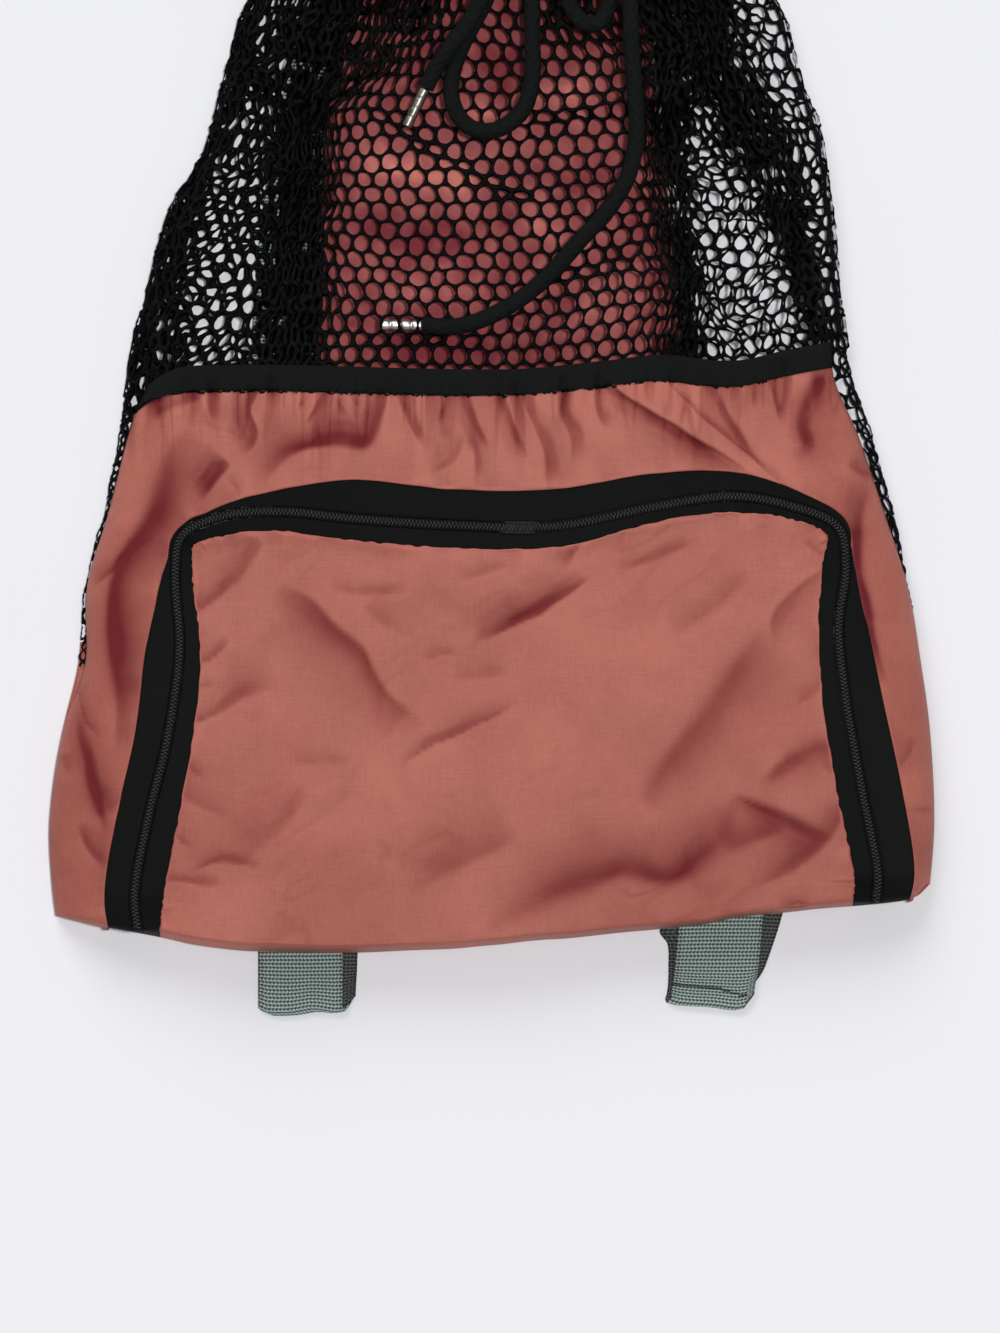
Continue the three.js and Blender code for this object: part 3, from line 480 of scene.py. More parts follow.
# The bag's own forms
left_fold = column(OUTLINE, "y", "left")
right_fold = column(OUTLINE, "y", "right")
tuck_left = column(OUTLINE, "y", "tuck_left")
tuck_right = column(OUTLINE, "y", "tuck_right")
loft = column(OUTLINE, "y", "loft")
plain_base = column(BASE_EDGE, "x", "y")
binding_low = column(BINDING_LOW, "x", "y")
strip_left = column(BACK_STRIP, "y", "left")
strip_right = column(BACK_STRIP, "y", "right")


def base_edge(x):
    """The base edge, a little wavy."""
    return plain_base(x) + 0.6 * noise(x, 0, 19, 48)


def front_left(y):
    return left_fold(y) + tuck_left(y)


def front_right(y):
    return right_fold(y) - tuck_right(y)


LOOP_REACH = {"flat": 40, "fall": 22, "flat_y": 52, "fall_y": 30}


def back_height(x, y):
    """Underside of the back, which lies on the straps and on both layers of their loops."""
    over = 0
    for side in ("left", "right"):
        away = np.abs(x - column(STRAP_LOOPS, "y", side)(y))
        near = 1 - smoothstep(away, LOOP_REACH["flat"], LOOP_REACH["flat"] + LOOP_REACH["fall"])
        over = np.maximum(over, near)
    low = 1 - smoothstep(y, LOOP_REACH["flat_y"], LOOP_REACH["flat_y"] + LOOP_REACH["fall_y"])
    return STRAP_LIFT * (1 + over * low)


zip_rows = {**ZIP, "i": np.arange(len(ZIP["x"]), dtype=float)}
gusset_width = column(zip_rows, "i", "gusset")
tape_width = column(zip_rows, "i", "tape")
zip_curve = curve_through(np.stack([ZIP["x"], ZIP["y"]], -1))
LAST_ROW = len(ZIP["x"]) - 1
STATIONS = LEG + ARCH + LEG


def zip_t(k):
    """Place along the zip's curve of a station, numbered from 0 up one leg, over the arch and down."""
    first, second = (corner / LAST_ROW for corner in ZIP_CORNERS)
    return np.interp(k, [0, LEG, LEG + ARCH, STATIONS], [0, first, second, 1])


def band_edges(t):
    """Distance from the coil's middle to the far edges of the gusset and of the tape."""
    inner = COIL["width"] / 2 + GAP
    gusset = inner + np.maximum(gusset_width(t * LAST_ROW), LEAST_TAPE)
    tape = inner + np.maximum(tape_width(t * LAST_ROW), LEAST_TAPE)
    return gusset, tape


def beside_zip(t, distance):
    """Points at a distance outside the zip's coil, or inside it where that is negative."""
    step = 1e-4
    middle = zip_curve(t)
    along = unit(zip_curve(np.minimum(t + step, 1)) - zip_curve(np.maximum(t - step, 0)))
    x = middle[..., 0] - along[..., 1] * distance
    y = middle[..., 1] + along[..., 0] * distance
    edge = base_edge(x)
    return x, np.where((t == 0) | (t == 1), edge, np.maximum(y, edge))


zip_line = zip_curve(np.linspace(0, 1, 240))
zip_length = np.linalg.norm(np.diff(zip_line, axis=0), axis=1).sum()


def chunks(values, size=8000):
    return np.array_split(values, max(1, len(values) // size))


def zip_places(x, y):
    """Distance outside the coil, and the place along the zip's curve, of points."""
    parts = [beside_line(*part, zip_line) for part in zip(chunks(x), chunks(y))]
    return (np.concatenate(column_of) for column_of in zip(*parts))


PUCKER = {"depth": 1.0, "fade": 5, "pitch": 6.5}
GATHERS = {"count": 7, "depth": 1.0, "fade": 28}
RUFFLE = {"depth": 2.0, "pitch": 5.5, "fade": 12, "pleat": 4.2, "pleat_depth": 0.65}
WRINKLES = {"turn": 0.55, "long": 27, "short": 7, "depth": 0.3, "painted_shade": 0.12}


def gather_height(x, y):
    """Broad waves, and short deep ruffles, of the cloth that the elastic binding draws in."""
    below = binding_low(x) - y
    across = (x - front_left(y)) / (front_right(y) - front_left(y))
    wave = GATHERS["depth"] * np.cos(2 * math.pi * GATHERS["count"] * across)
    fade = np.where(below > 0, GATHERS["fade"], BINDING["height"])
    wave = wave * (1 - smoothstep(np.abs(below), 0, fade))
    length = RUFFLE["fade"] * (1 + 0.7 * noise(x, 0, 7, 21))
    ruffle = noise(x, below * 0.1, RUFFLE["pitch"], 22)
    ruffle = np.minimum(ruffle, 0.35) * np.exp(-np.maximum(below, 0) / length)
    pleat = np.exp(-((noise(x, below * 0.12, RUFFLE["pleat"], 23) / 0.18) ** 2))
    pleat = RUFFLE["pleat_depth"] * pleat * np.exp(-((np.maximum(below, 0) / length / 1.5) ** 2))
    ruffle = RUFFLE["depth"] * (ruffle - pleat)
    return wave, ruffle * np.where(below > -2, 1, np.exp(-((below + 2) ** 2) / 20))


def wrinkled(x, y, seed):
    """Patches of fine valleys that run up to the right, 0 to 1, sharp on one side."""
    turn, long, short = (WRINKLES[name] for name in ("turn", "long", "short"))
    along = x * math.cos(turn) + y * math.sin(turn)
    across = y * math.cos(turn) - x * math.sin(turn) + 3 * noise(x, y, 30, seed)
    lines = noise(along * short / long, across, short, seed + 1)
    valleys = np.exp(-((lines / np.where(lines < 0, 0.11, 0.35)) ** 2))
    return valleys * np.clip(1.7 * noise(x, y, 22, seed + 2) - 0.15, 0, 1)


def rolled(distance, radius, power=2.0):
    return (1 - (1 - np.clip(distance / radius, 0, 1)) ** power) ** (1 / power)


def crown(x, y):
    """How far the front has risen, 0 at the side folds and the base edge and 1 inside."""
    sides = rolled(x - front_left(y), SIDE_ROLL) * rolled(front_right(y) - x, SIDE_ROLL)
    return sides * rolled(y - base_edge(x), BASE_ROLL, 6)


DEEPEST = 5.2
FOLD_RELIEF = 0.6
FOLD_LEAN = 0.35
# How strongly, and how near the base edge, light is painted into the cloth's colour
BASE_EDGE_PAINTED_LIGHT = {"most": 0.4, "fade": 1.3}


def front_relief(x, y):
    """Outer face of the cloth front, and the shade painted into its colour, mostly 0 to 1: painted shade in
    its folds and hollows, painted light below 0.
    """
    shape = np.shape(x)
    x, y = np.ravel(x), np.ravel(y)
    away, t = zip_places(x, y)
    gusset, tape = band_edges(t)
    off_band = np.maximum(np.maximum(away - gusset, -away - tape), 0)
    slack = 1 - 0.8 * np.exp(-((off_band / 4) ** 2))
    along = t * zip_length
    pucker = noise(along, away * 0.2, PUCKER["pitch"], 31) * np.exp(-off_band / PUCKER["fade"])
    pucker = PUCKER["depth"] * pucker * smoothstep(off_band, 0, 1.5)
    inside = smoothstep(-away - tape, 0, 1)
    panel, door = (fold_depth(x, y, rows, FOLD_LEAN) for rows in (PANEL_FOLDS, DOOR_FOLDS))
    folds = lerp(panel, door, inside)
    broad = 2.2 * noise(x, y, 64, 41) + 0.6 * noise(x + 0.4 * y, y, 29, 42)
    fine = 0.22 * noise(x - 0.5 * y, y, 12, 43) + 0.05 * noise(x, y + x, 5, 44)
    wave, ruffle = gather_height(x, y)
    creased = wrinkled(x, y, 47) * np.maximum(inside, 1 - smoothstep(x, -170, -150))
    fine = fine - WRINKLES["depth"] * creased
    relief = (broad + fine - FOLD_RELIEF * folds) * slack + wave + ruffle + pucker
    seam = back_height(x, y) + 2 * CLOTH + GAP
    height = seam + crown(x, y) * (loft(y) + relief)
    # Painted shade: darker in the folds, ruffles, puckers and fine wrinkles, toward the bottom, on the left
    # leg and on the door's right side, with random mottling; painted light on the broad raised waves and
    # ruffle crests
    painted_shade = 1.05 * (np.maximum(folds, 0) / DEEPEST) ** 0.85 - 0.34 * ruffle - 0.28 * pucker
    painted_shade = painted_shade + 0.04 * noise(x, y, 9, 45) + WRINKLES["painted_shade"] * creased - 0.02
    painted_shade = painted_shade + 0.06 * noise(x, y, 24, 46) - 0.04 * broad
    painted_shade = painted_shade + 0.07 * (1 - smoothstep(y, 40, 100)) - 0.03 * smoothstep(y, 90, 130)
    painted_shade = painted_shade + 0.07 * (1 - smoothstep(x, -176, -156)) + 0.035 * inside * smoothstep(x, 60, 110)
    # Painted light along the base edge, where the cloth rolls away from the light
    painted_edge_light = BASE_EDGE_PAINTED_LIGHT["most"] * np.exp(-np.maximum(y - base_edge(x), 0) / BASE_EDGE_PAINTED_LIGHT["fade"])
    painted_shade = np.clip(painted_shade, -0.12, 1) - painted_edge_light
    return height.reshape(shape), painted_shade.reshape(shape)


def front_height(x, y):
    return front_relief(x, y)[0]


# Meshes
def to_frame(points):
    return (np.asarray(points, float).reshape(-1, 3) + (0, TO_ORIGIN, 0)) * MM


def grid_faces(rows, columns, wrap_rows=False, wrap_columns=False):
    """Four-sided faces over a grid of points that is numbered row by row."""
    j, i = np.meshgrid(
        np.arange(rows if wrap_rows else rows - 1),
        np.arange(columns if wrap_columns else columns - 1),
        indexing="ij",
    )
    at = lambda j, i: (j % rows) * columns + i % columns
    return np.stack([at(j, i), at(j, i + 1), at(j + 1, i + 1), at(j + 1, i)], -1).reshape(-1, 4)


def free_edges(faces):
    """Directed edges that only one face has."""
    edges = np.concatenate([faces[:, [k, (k + 1) % 4]] for k in range(4)])
    key = edges.max() + 1
    lone = ~np.isin(edges[:, 0] * key + edges[:, 1], edges[:, 1] * key + edges[:, 0])
    return edges[lone]


def closed_wall(faces, upper, lower):
    """A closed wall between two copies of a sheet, with a rim along its free edges."""
    upper, lower = upper.reshape(-1, 3), lower.reshape(-1, 3)
    under = len(upper)
    rim = free_edges(faces)
    sides = np.stack([rim[:, 0], rim[:, 0] + under, rim[:, 1] + under, rim[:, 1]], -1)
    return np.vstack([upper, lower]), np.vstack([faces, faces[:, ::-1] + under, sides])


def grid_normals(points):
    """Unit normals of a grid of points, and whether its faces point down as numbered."""
    normals = unit(np.cross(np.gradient(points, axis=1), np.gradient(points, axis=0)))
    return normals, normals[..., 2].mean() < 0


def cloth_wall(points, thickness=CLOTH):
    """A closed wall of cloth under a grid of points on its outer face."""
    normals, down = grid_normals(points)
    faces = grid_faces(*points.shape[:2])
    if down:
        normals, faces = -normals, faces[:, ::-1]
    return closed_wall(faces, points, points - thickness * normals)


def piece(name, shape, finish, nodes=(), weave=None):
    """A piece of the bag from its points and faces, with its finish and the nodes that it stands for."""
    points, faces = shape
    mesh = bpy.data.meshes.new(name)
    mesh.from_pydata(to_frame(points).tolist(), [], [list(face) for face in faces])
    # The weave map holds the place along and across a woven piece; on the coral pieces it holds their
    # painted shade and painted light
    if weave is not None:
        layer = mesh.uv_layers.new(name="weave")
        corner = np.empty(len(mesh.loops), dtype=int)
        mesh.loops.foreach_get("vertex_index", corner)
        layer.uv.foreach_set("vector", np.asarray(weave, np.float32)[corner].ravel())
    mesh.shade_smooth()
    mesh.materials.append(finish)
    made = bpy.data.objects.new(name, mesh)
    scene.collection.objects.link(made)
    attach(made, "root")
    if nodes:
        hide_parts(*nodes)
    return made


def joined(parts):
    """Several meshes as one."""
    points, faces, under = [], [], 0
    for part, its_faces in parts:
        points.append(part)
        faces += [[i + under for i in face] for face in its_faces]
        under += len(part)
    return np.vstack(points), faces


# Shader maths
class Wire:
    """A socket of a material's nodes; sums, products and the like of wires add Math nodes."""

    def __init__(self, tree, socket=None):
        self.tree = tree
        self.socket = socket

    def node(self, kind, settings=None, values=None, output=0):
        made = self.tree.nodes.new("ShaderNode" + kind)
        for name, value in (settings or {}).items():
            if name == "stops":
                for stop, (place, shade) in zip(made.color_ramp.elements, value):
                    stop.position, stop.color = place, (*shade, 1)
            else:
                setattr(made, name, value)
        for name, value in (values or {}).items():
            if isinstance(value, Wire):
                self.tree.links.new(value.socket, made.inputs[name])
            else:
                made.inputs[name].default_value = value
        return Wire(self.tree, made.outputs[output])

    def maths(self, operation, *values):
        return self.node("Math", {"operation": operation}, dict(enumerate(values)))

    def mix(self, low, high):
        """The colour between two, with this wire as its factor."""
        shades = {k: v if isinstance(v, Wire) else (*v, 1) for k, v in ((6, low), (7, high))}
        return self.node("Mix", {"data_type": "RGBA"}, {0: self, **shades}, output=2)

    def __add__(self, other):
        return self.maths("ADD", self, other)

    def __sub__(self, other):
        return self.maths("SUBTRACT", self, other)

    def __rsub__(self, other):
        return self.maths("SUBTRACT", other, self)

    def __mul__(self, other):
        return self.maths("MULTIPLY", self, other)

    __radd__, __rmul__ = __add__, __mul__

    def sine(self):
        return self.maths("SINE", self)

    def size(self):
        return self.maths("ABSOLUTE", self)

    def parts(self):
        """The X, Y and Z of a vector."""
        split = self.node("SeparateXYZ", values={0: self})
        return [Wire(self.tree, socket) for socket in split.socket.node.outputs]

    def waves(self, scale, detail=2.0, stretch=(1, 1, 1)):
        """Noise over this vector, about 0 to 1."""
        spread = self.node("VectorMath", {"operation": "MULTIPLY"}, {0: self, 1: stretch})
        return self.node("TexNoise", values={"Vector": spread, "Scale": scale, "Detail": detail})


def finish(name, build, **constants):
    """A material whose build function gives what varies: its colour, roughness and relief."""
    material = bpy.data.materials.new(name)
    material.use_nodes = True
    tree = material.node_tree
    tree.nodes.clear()
    shader = tree.nodes.new("ShaderNodeBsdfPrincipled")
    output = tree.nodes.new("ShaderNodeOutputMaterial")
    tree.links.new(shader.outputs["BSDF"], output.inputs["Surface"])
    start = Wire(tree)
    varying = build(start)
    relief, depth = varying.pop("relief", None), varying.pop("depth", 0.0002)
    if relief is not None:
        varying["Normal"] = start.node("Bump", values={"Height": relief, "Distance": depth})
    for socket, wire in varying.items():
        tree.links.new(wire.socket, shader.inputs[socket])
    for socket, value in constants.items():
        shader.inputs[socket.replace("_", " ")].default_value = value
    return material


def place(start):
    """Place on the bag, in metres."""
    return start.node("TexCoord", output=3)


def weave_place(start):
    """Place along and across a woven piece, in millimetres; on the coral pieces, their painted shade
    instead.
    """
    return start.node("UVMap", {"uv_map": "weave"})


TURN = 2 * math.pi
CORAL_LOW, CORAL_HIGH = (0.33, 0.086, 0.06), (0.475, 0.14, 0.104)
# Colour of the painted shade in the cloth's folds, and of the painted light on its ridges and along the base
# edge
CORAL_PAINTED_SHADE, CORAL_PAINTED_LIGHT = (0.15, 0.012, 0.016), (0.85, 0.28, 0.205)
# The back strip's colours: the same cloth as the front, painted darker and more crimson as painted shade for
# lying under the net, and the colour of its deepest painted shade
STRIP_LOW, STRIP_HIGH, STRIP_PAINTED_SHADE = (0.33, 0.082, 0.074), (0.475, 0.135, 0.13), (0.15, 0.012, 0.024)
THREAD = 0.00045


def coral_nodes(start, low=CORAL_LOW, high=CORAL_HIGH, painted_shade=CORAL_PAINTED_SHADE):
    here = place(start)
    x, y, _ = here.parts()
    # On the coral pieces the weave map's first part holds their painted shade: the colour darkens toward the
    # painted shade colour where it is positive, and lightens toward the painted light colour where it is
    # negative
    shade, _, _ = weave_place(start).parts()
    warp, weft = (x * (TURN / THREAD)).sine(), (y * (TURN / THREAD)).sine()
    slubs = here.waves(1500, 1, (0.1, 1, 0.3)) + here.waves(1500, 1, (1, 0.1, 0.3))
    patches = here.waves(22, 3)
    cloth = (0.4 * patches + 0.65 * slubs - 0.35).mix(low, high)
    return {
        "Base Color": (shade * -1).mix(shade.mix(cloth, painted_shade), CORAL_PAINTED_LIGHT),
        "Roughness": 0.5 + 0.12 * patches + 0.42 * shade.size(),
        "relief": warp * weft * 0.35 + slubs * 0.5,
        "depth": 0.00005,
    }


BLACK_DEEP, BLACK_PALE = (0.0055, 0.006, 0.006), (0.015, 0.016, 0.016)


def tape_nodes(pitch, pale=BLACK_PALE, grain=1.4):
    def build(start):
        here = weave_place(start)
        along, across, _ = here.parts()
        rib = ((along + across) * (TURN / pitch)).sine()
        fibres = here.waves(grain, 3, (0.5, 1.5, 1))
        return {
            "Base Color": (0.3 + 0.1 * rib + 0.7 * (fibres - 0.5)).mix(BLACK_DEEP, pale),
            "Roughness": 0.62 + 0.25 * fibres,
            "relief": rib + fibres,
            "depth": 0.0002,
        }

    return build


def net_nodes(start):
    here = place(start)
    fibres = here.waves(1500, 3)
    twist = here.waves(420, 2)
    return {
        "Base Color": (fibres * 0.9 - 0.1).mix((0.0008, 0.0008, 0.0009), (0.0085, 0.0085, 0.009)),
        "Roughness": 0.32 + 0.3 * twist,
        "relief": fibres + twist,
        "depth": 0.0006,
    }


WEBBING_DEEP, WEBBING_PALE = (0.037, 0.056, 0.051), (0.6, 0.74, 0.69)
# Darker webbing colours: painted shade on each loop's lower layer and along the crease across the right loop
WEBBING_SHADE_DEEP, WEBBING_SHADE_PALE = (0.018, 0.022, 0.02), (0.17, 0.19, 0.17)


def webbing_nodes(start, deep=WEBBING_DEEP, pale=WEBBING_PALE):
    here = weave_place(start)
    along, across, _ = here.parts()
    rib = (along * (TURN / WEBBING["rib"])).sine()
    grain = (across * (TURN / 1.7) + (along * (TURN / 2 / WEBBING["rib"])).sine() * 1.1).sine()
    fibres = here.waves(1.1, 3, (1, 2, 1))
    tone = 0.36 + 0.32 * rib + 0.2 * grain + 0.5 * (fibres - 0.5)
    return {
        "Base Color": tone.mix(deep, pale),
        "Roughness": 0.75 + 0.15 * fibres,
        "relief": rib * 0.4 + grain * 0.5 + fibres,
        "depth": 0.0003,
    }


def cord_nodes(start):
    here = weave_place(start)
    fibres = here.waves(3.2, 4, (0.4, 1, 1))
    patches = here.waves(0.25, 2)
    tone = fibres * 0.8 + patches * 0.4 - 0.2
    return {
        "Base Color": tone.mix((0.0025, 0.003, 0.003), (0.0145, 0.0172, 0.0172)),
        "Roughness": 0.8 + 0.15 * fibres,
        "relief": fibres,
        "depth": 0.0005,
    }


def metal_nodes(dull, bright):
    def build(start):
        here = place(start)
        grime = here.waves(260, 4)
        scratches = here.waves(1400, 2, (1, 0.15, 1))
        return {
            "Base Color": (grime * 1.5 - 0.35).mix(dull, bright),
            "Roughness": 0.22 + 0.3 * grime,
            "relief": scratches * 0.3 + grime,
            "depth": 0.0001,
        }

    return build


def coil_nodes(start):
    wear = place(start).waves(700, 2)
    return {
        "Base Color": wear.mix((0.009, 0.0095, 0.0095), (0.066, 0.068, 0.067)),
        "Roughness": 0.3 + 0.2 * wear,
    }


def thread_nodes(start):
    return {"Base Color": place(start).waves(800, 2).mix((0.006, 0.006, 0.006), (0.05, 0.05, 0.05))}


def ground_nodes(start):
    return {"Base Color": place(start).waves(500, 2).mix((0.003, 0.003, 0.003), (0.008, 0.008, 0.008))}


def floor_nodes(start):
    grain = place(start).waves(3, 2)
    return {"Base Color": grain.mix((0.862, 0.865, 0.9), (0.872, 0.875, 0.91))}


DULL = 0.1
CORAL = finish("coral_cloth", coral_nodes, Specular_IOR_Level=0.36)
# The same coral cloth with painted shade, for the strip under the net
CORAL_SHADED_COPY = finish(
    "strip_cloth_shaded_copy",
    lambda start: coral_nodes(start, STRIP_LOW, STRIP_HIGH, STRIP_PAINTED_SHADE),
    Specular_IOR_Level=0.15,
)
GUSSET_CLOTH = finish("gusset_cloth", tape_nodes(0.7, (0.019, 0.02, 0.0205)), Specular_IOR_Level=DULL)
BINDING_TAPE = finish("binding_tape", tape_nodes(1.1, (0.02, 0.021, 0.021), 0.8), Specular_IOR_Level=DULL)
NET_YARN = finish("net_yarn", net_nodes, Specular_IOR_Level=0.07)
WEBBING_YARN = finish("webbing", webbing_nodes, Specular_IOR_Level=0.2)
# Webbing with painted shade
WEBBING_PAINTED_SHADE = finish(
    "webbing_painted_shade", lambda start: webbing_nodes(start, WEBBING_SHADE_DEEP, WEBBING_SHADE_PALE), Specular_IOR_Level=0.2
)
CORD_YARN = finish("cord_yarn", cord_nodes, Specular_IOR_Level=DULL)
# The right tip is given a brighter copy of the same metal: painted highlight for its glints
PEWTER, NICKEL_PAINTED_GLINT = ((0.15, 0.125, 0.1), (0.46, 0.43, 0.385)), ((0.6, 0.58, 0.55), (0.9, 0.89, 0.87))
TIP_FINISH = {
    "cord_tip_left": finish("tip_pewter", metal_nodes(*PEWTER), Metallic=1.0),
    "cord_tip_right": finish("tip_nickel_painted_glint", metal_nodes(*NICKEL_PAINTED_GLINT), Metallic=1.0),
}
COIL_NYLON = finish("coil_nylon", coil_nodes, Specular_IOR_Level=0.5)
TACK_THREAD = finish("tack_thread", thread_nodes, Roughness=0.7, Specular_IOR_Level=0.3)
COIL_GROUND = finish("coil_ground", ground_nodes, Roughness=0.8, Specular_IOR_Level=DULL)
FLOOR = finish("floor", floor_nodes, Roughness=0.9, Specular_IOR_Level=0.1)


# Camera, light and floor
def add_camera():
    centre_x = (PHOTO["width"] / 2 - PHOTO["base_x"]) / PHOTO["px_per_mm"]
    centre_y = (PHOTO["base_y"] - PHOTO["height"] / 2) / PHOTO["px_per_mm"]
    view_height = PHOTO["height"] / PHOTO["px_per_mm"] * MM
    lens = bpy.data.cameras.new("camera")
    lens.lens = lens.sensor_width * CAMERA_HEIGHT / view_height
    camera = bpy.data.objects.new("camera", lens)
    camera.location = (centre_x * MM, (centre_y + TO_ORIGIN) * MM, CAMERA_HEIGHT)
    scene.collection.objects.link(camera)
    scene.camera = camera


def add_sun(name, toward, share, angle):
    """A distant light that gives a level floor its share of the whole light."""
    toward = Vector(toward).normalized()
    lamp = bpy.data.lights.new(name, "SUN")
    lamp.energy = share * math.pi / toward.z
    lamp.angle = angle
    light = bpy.data.objects.new(name, lamp)
    light.rotation_euler = toward.to_track_quat("Z", "Y").to_euler()
    light.visible_camera = False
    scene.collection.objects.link(light)


def add_studio():
    scene.view_settings.view_transform = "Standard"
    world = bpy.data.worlds.new("studio")
    world.use_nodes = True
    background = world.node_tree.nodes["Background"]
    background.inputs["Color"].default_value = (0.97, 0.98, 1, 1)
    background.inputs["Strength"].default_value = 0.22
    scene.world = world
    add_sun("front", (0.12, 0.03, 1), 0.55, 0.08)
    add_sun("side", (-0.35, 0.85, 0.68), 0.23, 0.7)
    half = 4.0
    mesh = bpy.data.meshes.new("floor")
    corners = [(-half, -half, 0), (half, -half, 0), (half, half, 0), (-half, half, 0)]
    mesh.from_pydata(corners, [], [(0, 1, 2, 3)])
    mesh.materials.append(FLOOR)
    floor = bpy.data.objects.new("floor", mesh)
    scene.collection.objects.link(floor)


add_camera()
add_studio()


# Cord
def tube(path, radius, sides):
    """A closed tube along points; radius is a number or an array by ring and side. Also its weave."""
    along = unit(np.gradient(path, axis=0))
    side = np.zeros_like(path)
    side[0] = unit(np.cross(along[0], (0.3, 0.2, 1)))
    for k in range(1, len(path)):
        side[k] = unit(side[k - 1] - along[k] * np.dot(side[k - 1], along[k]))
    up = np.cross(along, side)
    turn = np.linspace(0, TURN, sides, endpoint=False)
    out = side[:, None] * np.cos(turn)[:, None] + up[:, None] * np.sin(turn)[:, None]
    rings = path[:, None] + out * np.broadcast_to(radius, out.shape[:2])[..., None]
    faces = grid_faces(len(path), sides, wrap_columns=True)
    points = np.vstack([rings.reshape(-1, 3), path[:1], path[-1:]])
    first, last = len(points) - 2, len(points) - 1
    ring = np.arange(sides)
    after = (ring + 1) % sides
    end = (len(path) - 1) * sides
    cap = np.stack([np.full(sides, first), after, ring, ring], -1)
    far_cap = np.stack([np.full(sides, last), end + ring, end + after, end + after], -1)
    length = np.concatenate([[0], np.cumsum(np.linalg.norm(np.diff(path, axis=0), axis=1))])
    width = turn * np.mean(radius)
    weave = np.stack(np.broadcast_arrays(length[:, None], width), -1).reshape(-1, 2)
    weave = np.vstack([weave, [[0, 0], [length[-1], 0]]])
    quads = [tuple(face) for face in faces]
    triangles = [tuple(face[:3]) for face in np.vstack([cap, far_cap])]
    return points, quads + triangles, weave


BRAID = {"strands": 6, "lay": 11, "relief": 0.1}


def braided(path, wobble_seed):
    """A braided cord along points: two sets of strands that cross."""
    rings = np.arange(len(path))[:, None] * CORD["step"]
    turn = np.linspace(0, TURN, CORD["sides"], endpoint=False)
    lead = TURN * rings / BRAID["lay"] * 2
    one = np.cos(BRAID["strands"] * turn + lead)
    other = np.cos(BRAID["strands"] * turn - lead)
    soft = 1 + 0.03 * noise(rings, turn * 3, 9, wobble_seed)
    radius = CORD["diameter"] / 2 * (1 + BRAID["relief"] * (np.maximum(one, other) - 0.7)) * soft
    return tube(path, radius, CORD["sides"])


def cord_piece(name, path, seed):
    points, faces, weave = braided(path, seed)
    return piece(name, (points, faces), CORD_YARN, [name], weave)


def tip_shape(path, crimp):
    """A crimped metal sleeve that goes on from a route's end, along it."""
    along = unit(path[-1] - path[-2])
    start = path[-1] + along * GAP
    at = np.linspace(0, TIP["length"], 77)
    pitch = TIP["length"] / (TIP["crimps"] + 1)
    radius = np.full(len(at), TIP["radius"])
    for k in range(1, TIP["crimps"] + 1):
        radius -= crimp * np.exp(-(((at - pitch * k) / 0.75) ** 2))
    lip = np.clip(np.minimum(at, TIP["length"] - at) / 0.6, 0, 1)
    radius = radius - 0.5 * (1 - rolled(lip, 1))
    sides = 28
    return tube(start + at[:, None] * along, np.repeat(radius[:, None], sides, 1), sides)


def make_cords():
    ends = {"cord_tail_left": "cord_tip_left", "cord_tail_right": "cord_tip_right"}
    for seed, (name, route) in enumerate(ROUTES.items()):
        dense = curve_through(route)(np.linspace(0, 1, 40 * len(route)))
        path = evenly(dense, CORD["step"])
        cord = cord_piece(name, path, 60 + seed)
        if name in ends:
            tip = ends[name]
            points, faces, weave = tip_shape(path, TIP["crimp"][tip])
            piece(tip, (points, faces), TIP_FINISH[tip], [tip], weave)
        line = to_frame(path)
        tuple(line[0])


def make_knot():
    """A three-lobed knot, drawn tight."""
    u = np.linspace(0, 2 * TURN, 500)
    reach = KNOT["radius"] * (2 + np.cos(1.5 * u)) * 0.5
    flat = np.stack([reach * np.cos(u), reach * np.sin(u), KNOT["radius"] * np.sin(1.5 * u) * 0.5], -1)
    path = evenly(flat, CORD["step"])
    points, faces, weave = braided(path, 71)
    points = points * (1, KNOT["flatten"], 1) + KNOT["centre"]
    piece("cord_knot", (points, faces), CORD_YARN, ["cord_knot"], weave)


make_cords()
make_knot()


# Cloth front
def front_grid(x, y, lift=0.0):
    return np.stack([x, y, front_height(x, y) + lift], -1)


def coral_grid(x, y, lift=0.0):
    """A grid of the cloth front, and the painted shade and painted light of its colour for both faces of its
    wall.
    """
    height, painted_shade = front_relief(x, y)
    shade = np.concatenate([painted_shade.ravel(), 0 * painted_shade.ravel()])
    return np.stack([x, y, height + lift], -1), np.column_stack([shade, 0 * shade])


def panel_edge(k):
    """Outer edge of the front panel at a station: up the left fold, along the binding, down the right."""
    first, last = BASE_EDGE["y"][0], BASE_EDGE["y"][-1]
    top_left, top_right = BINDING_LOW["y"][0], BINDING_LOW["y"][-1]
    y_left = lerp(first, top_left, np.clip(k / LEG, 0, 1))
    y_right = lerp(top_right, last, np.clip((k - LEG - ARCH) / LEG, 0, 1))
    x_top = lerp(front_left(top_left), front_right(top_right), np.clip((k - LEG) / ARCH, 0, 1))
    x = np.where(k <= LEG, front_left(y_left), np.where(k < LEG + ARCH, x_top, front_right(y_right)))
    y = np.where(k <= LEG, y_left, np.where(k < LEG + ARCH, binding_low(x_top), y_right))
    return x, y


FINE = {"stations": 760, "panel": 60, "door_columns": 280, "door_rows": 160}
SEAM_LIFT = 0.5
CLOSER = 1.35


def ragged(t, seed):
    """How far the puckered edge of the cloth stands off the edge of the band beside it."""
    return 0.4 * noise(t * zip_length, 0, 2.4, seed) - 0.2


def stations():
    """Places along the zip, closer together toward its two lower ends."""
    k = np.linspace(0, STATIONS, FINE["stations"] + 1)[:, None]
    from_end = np.minimum(np.minimum(k, STATIONS - k), LEG)
    closer = from_end - LEG * (from_end / LEG) ** CLOSER
    return k - closer * np.sign(STATIONS / 2 - k)


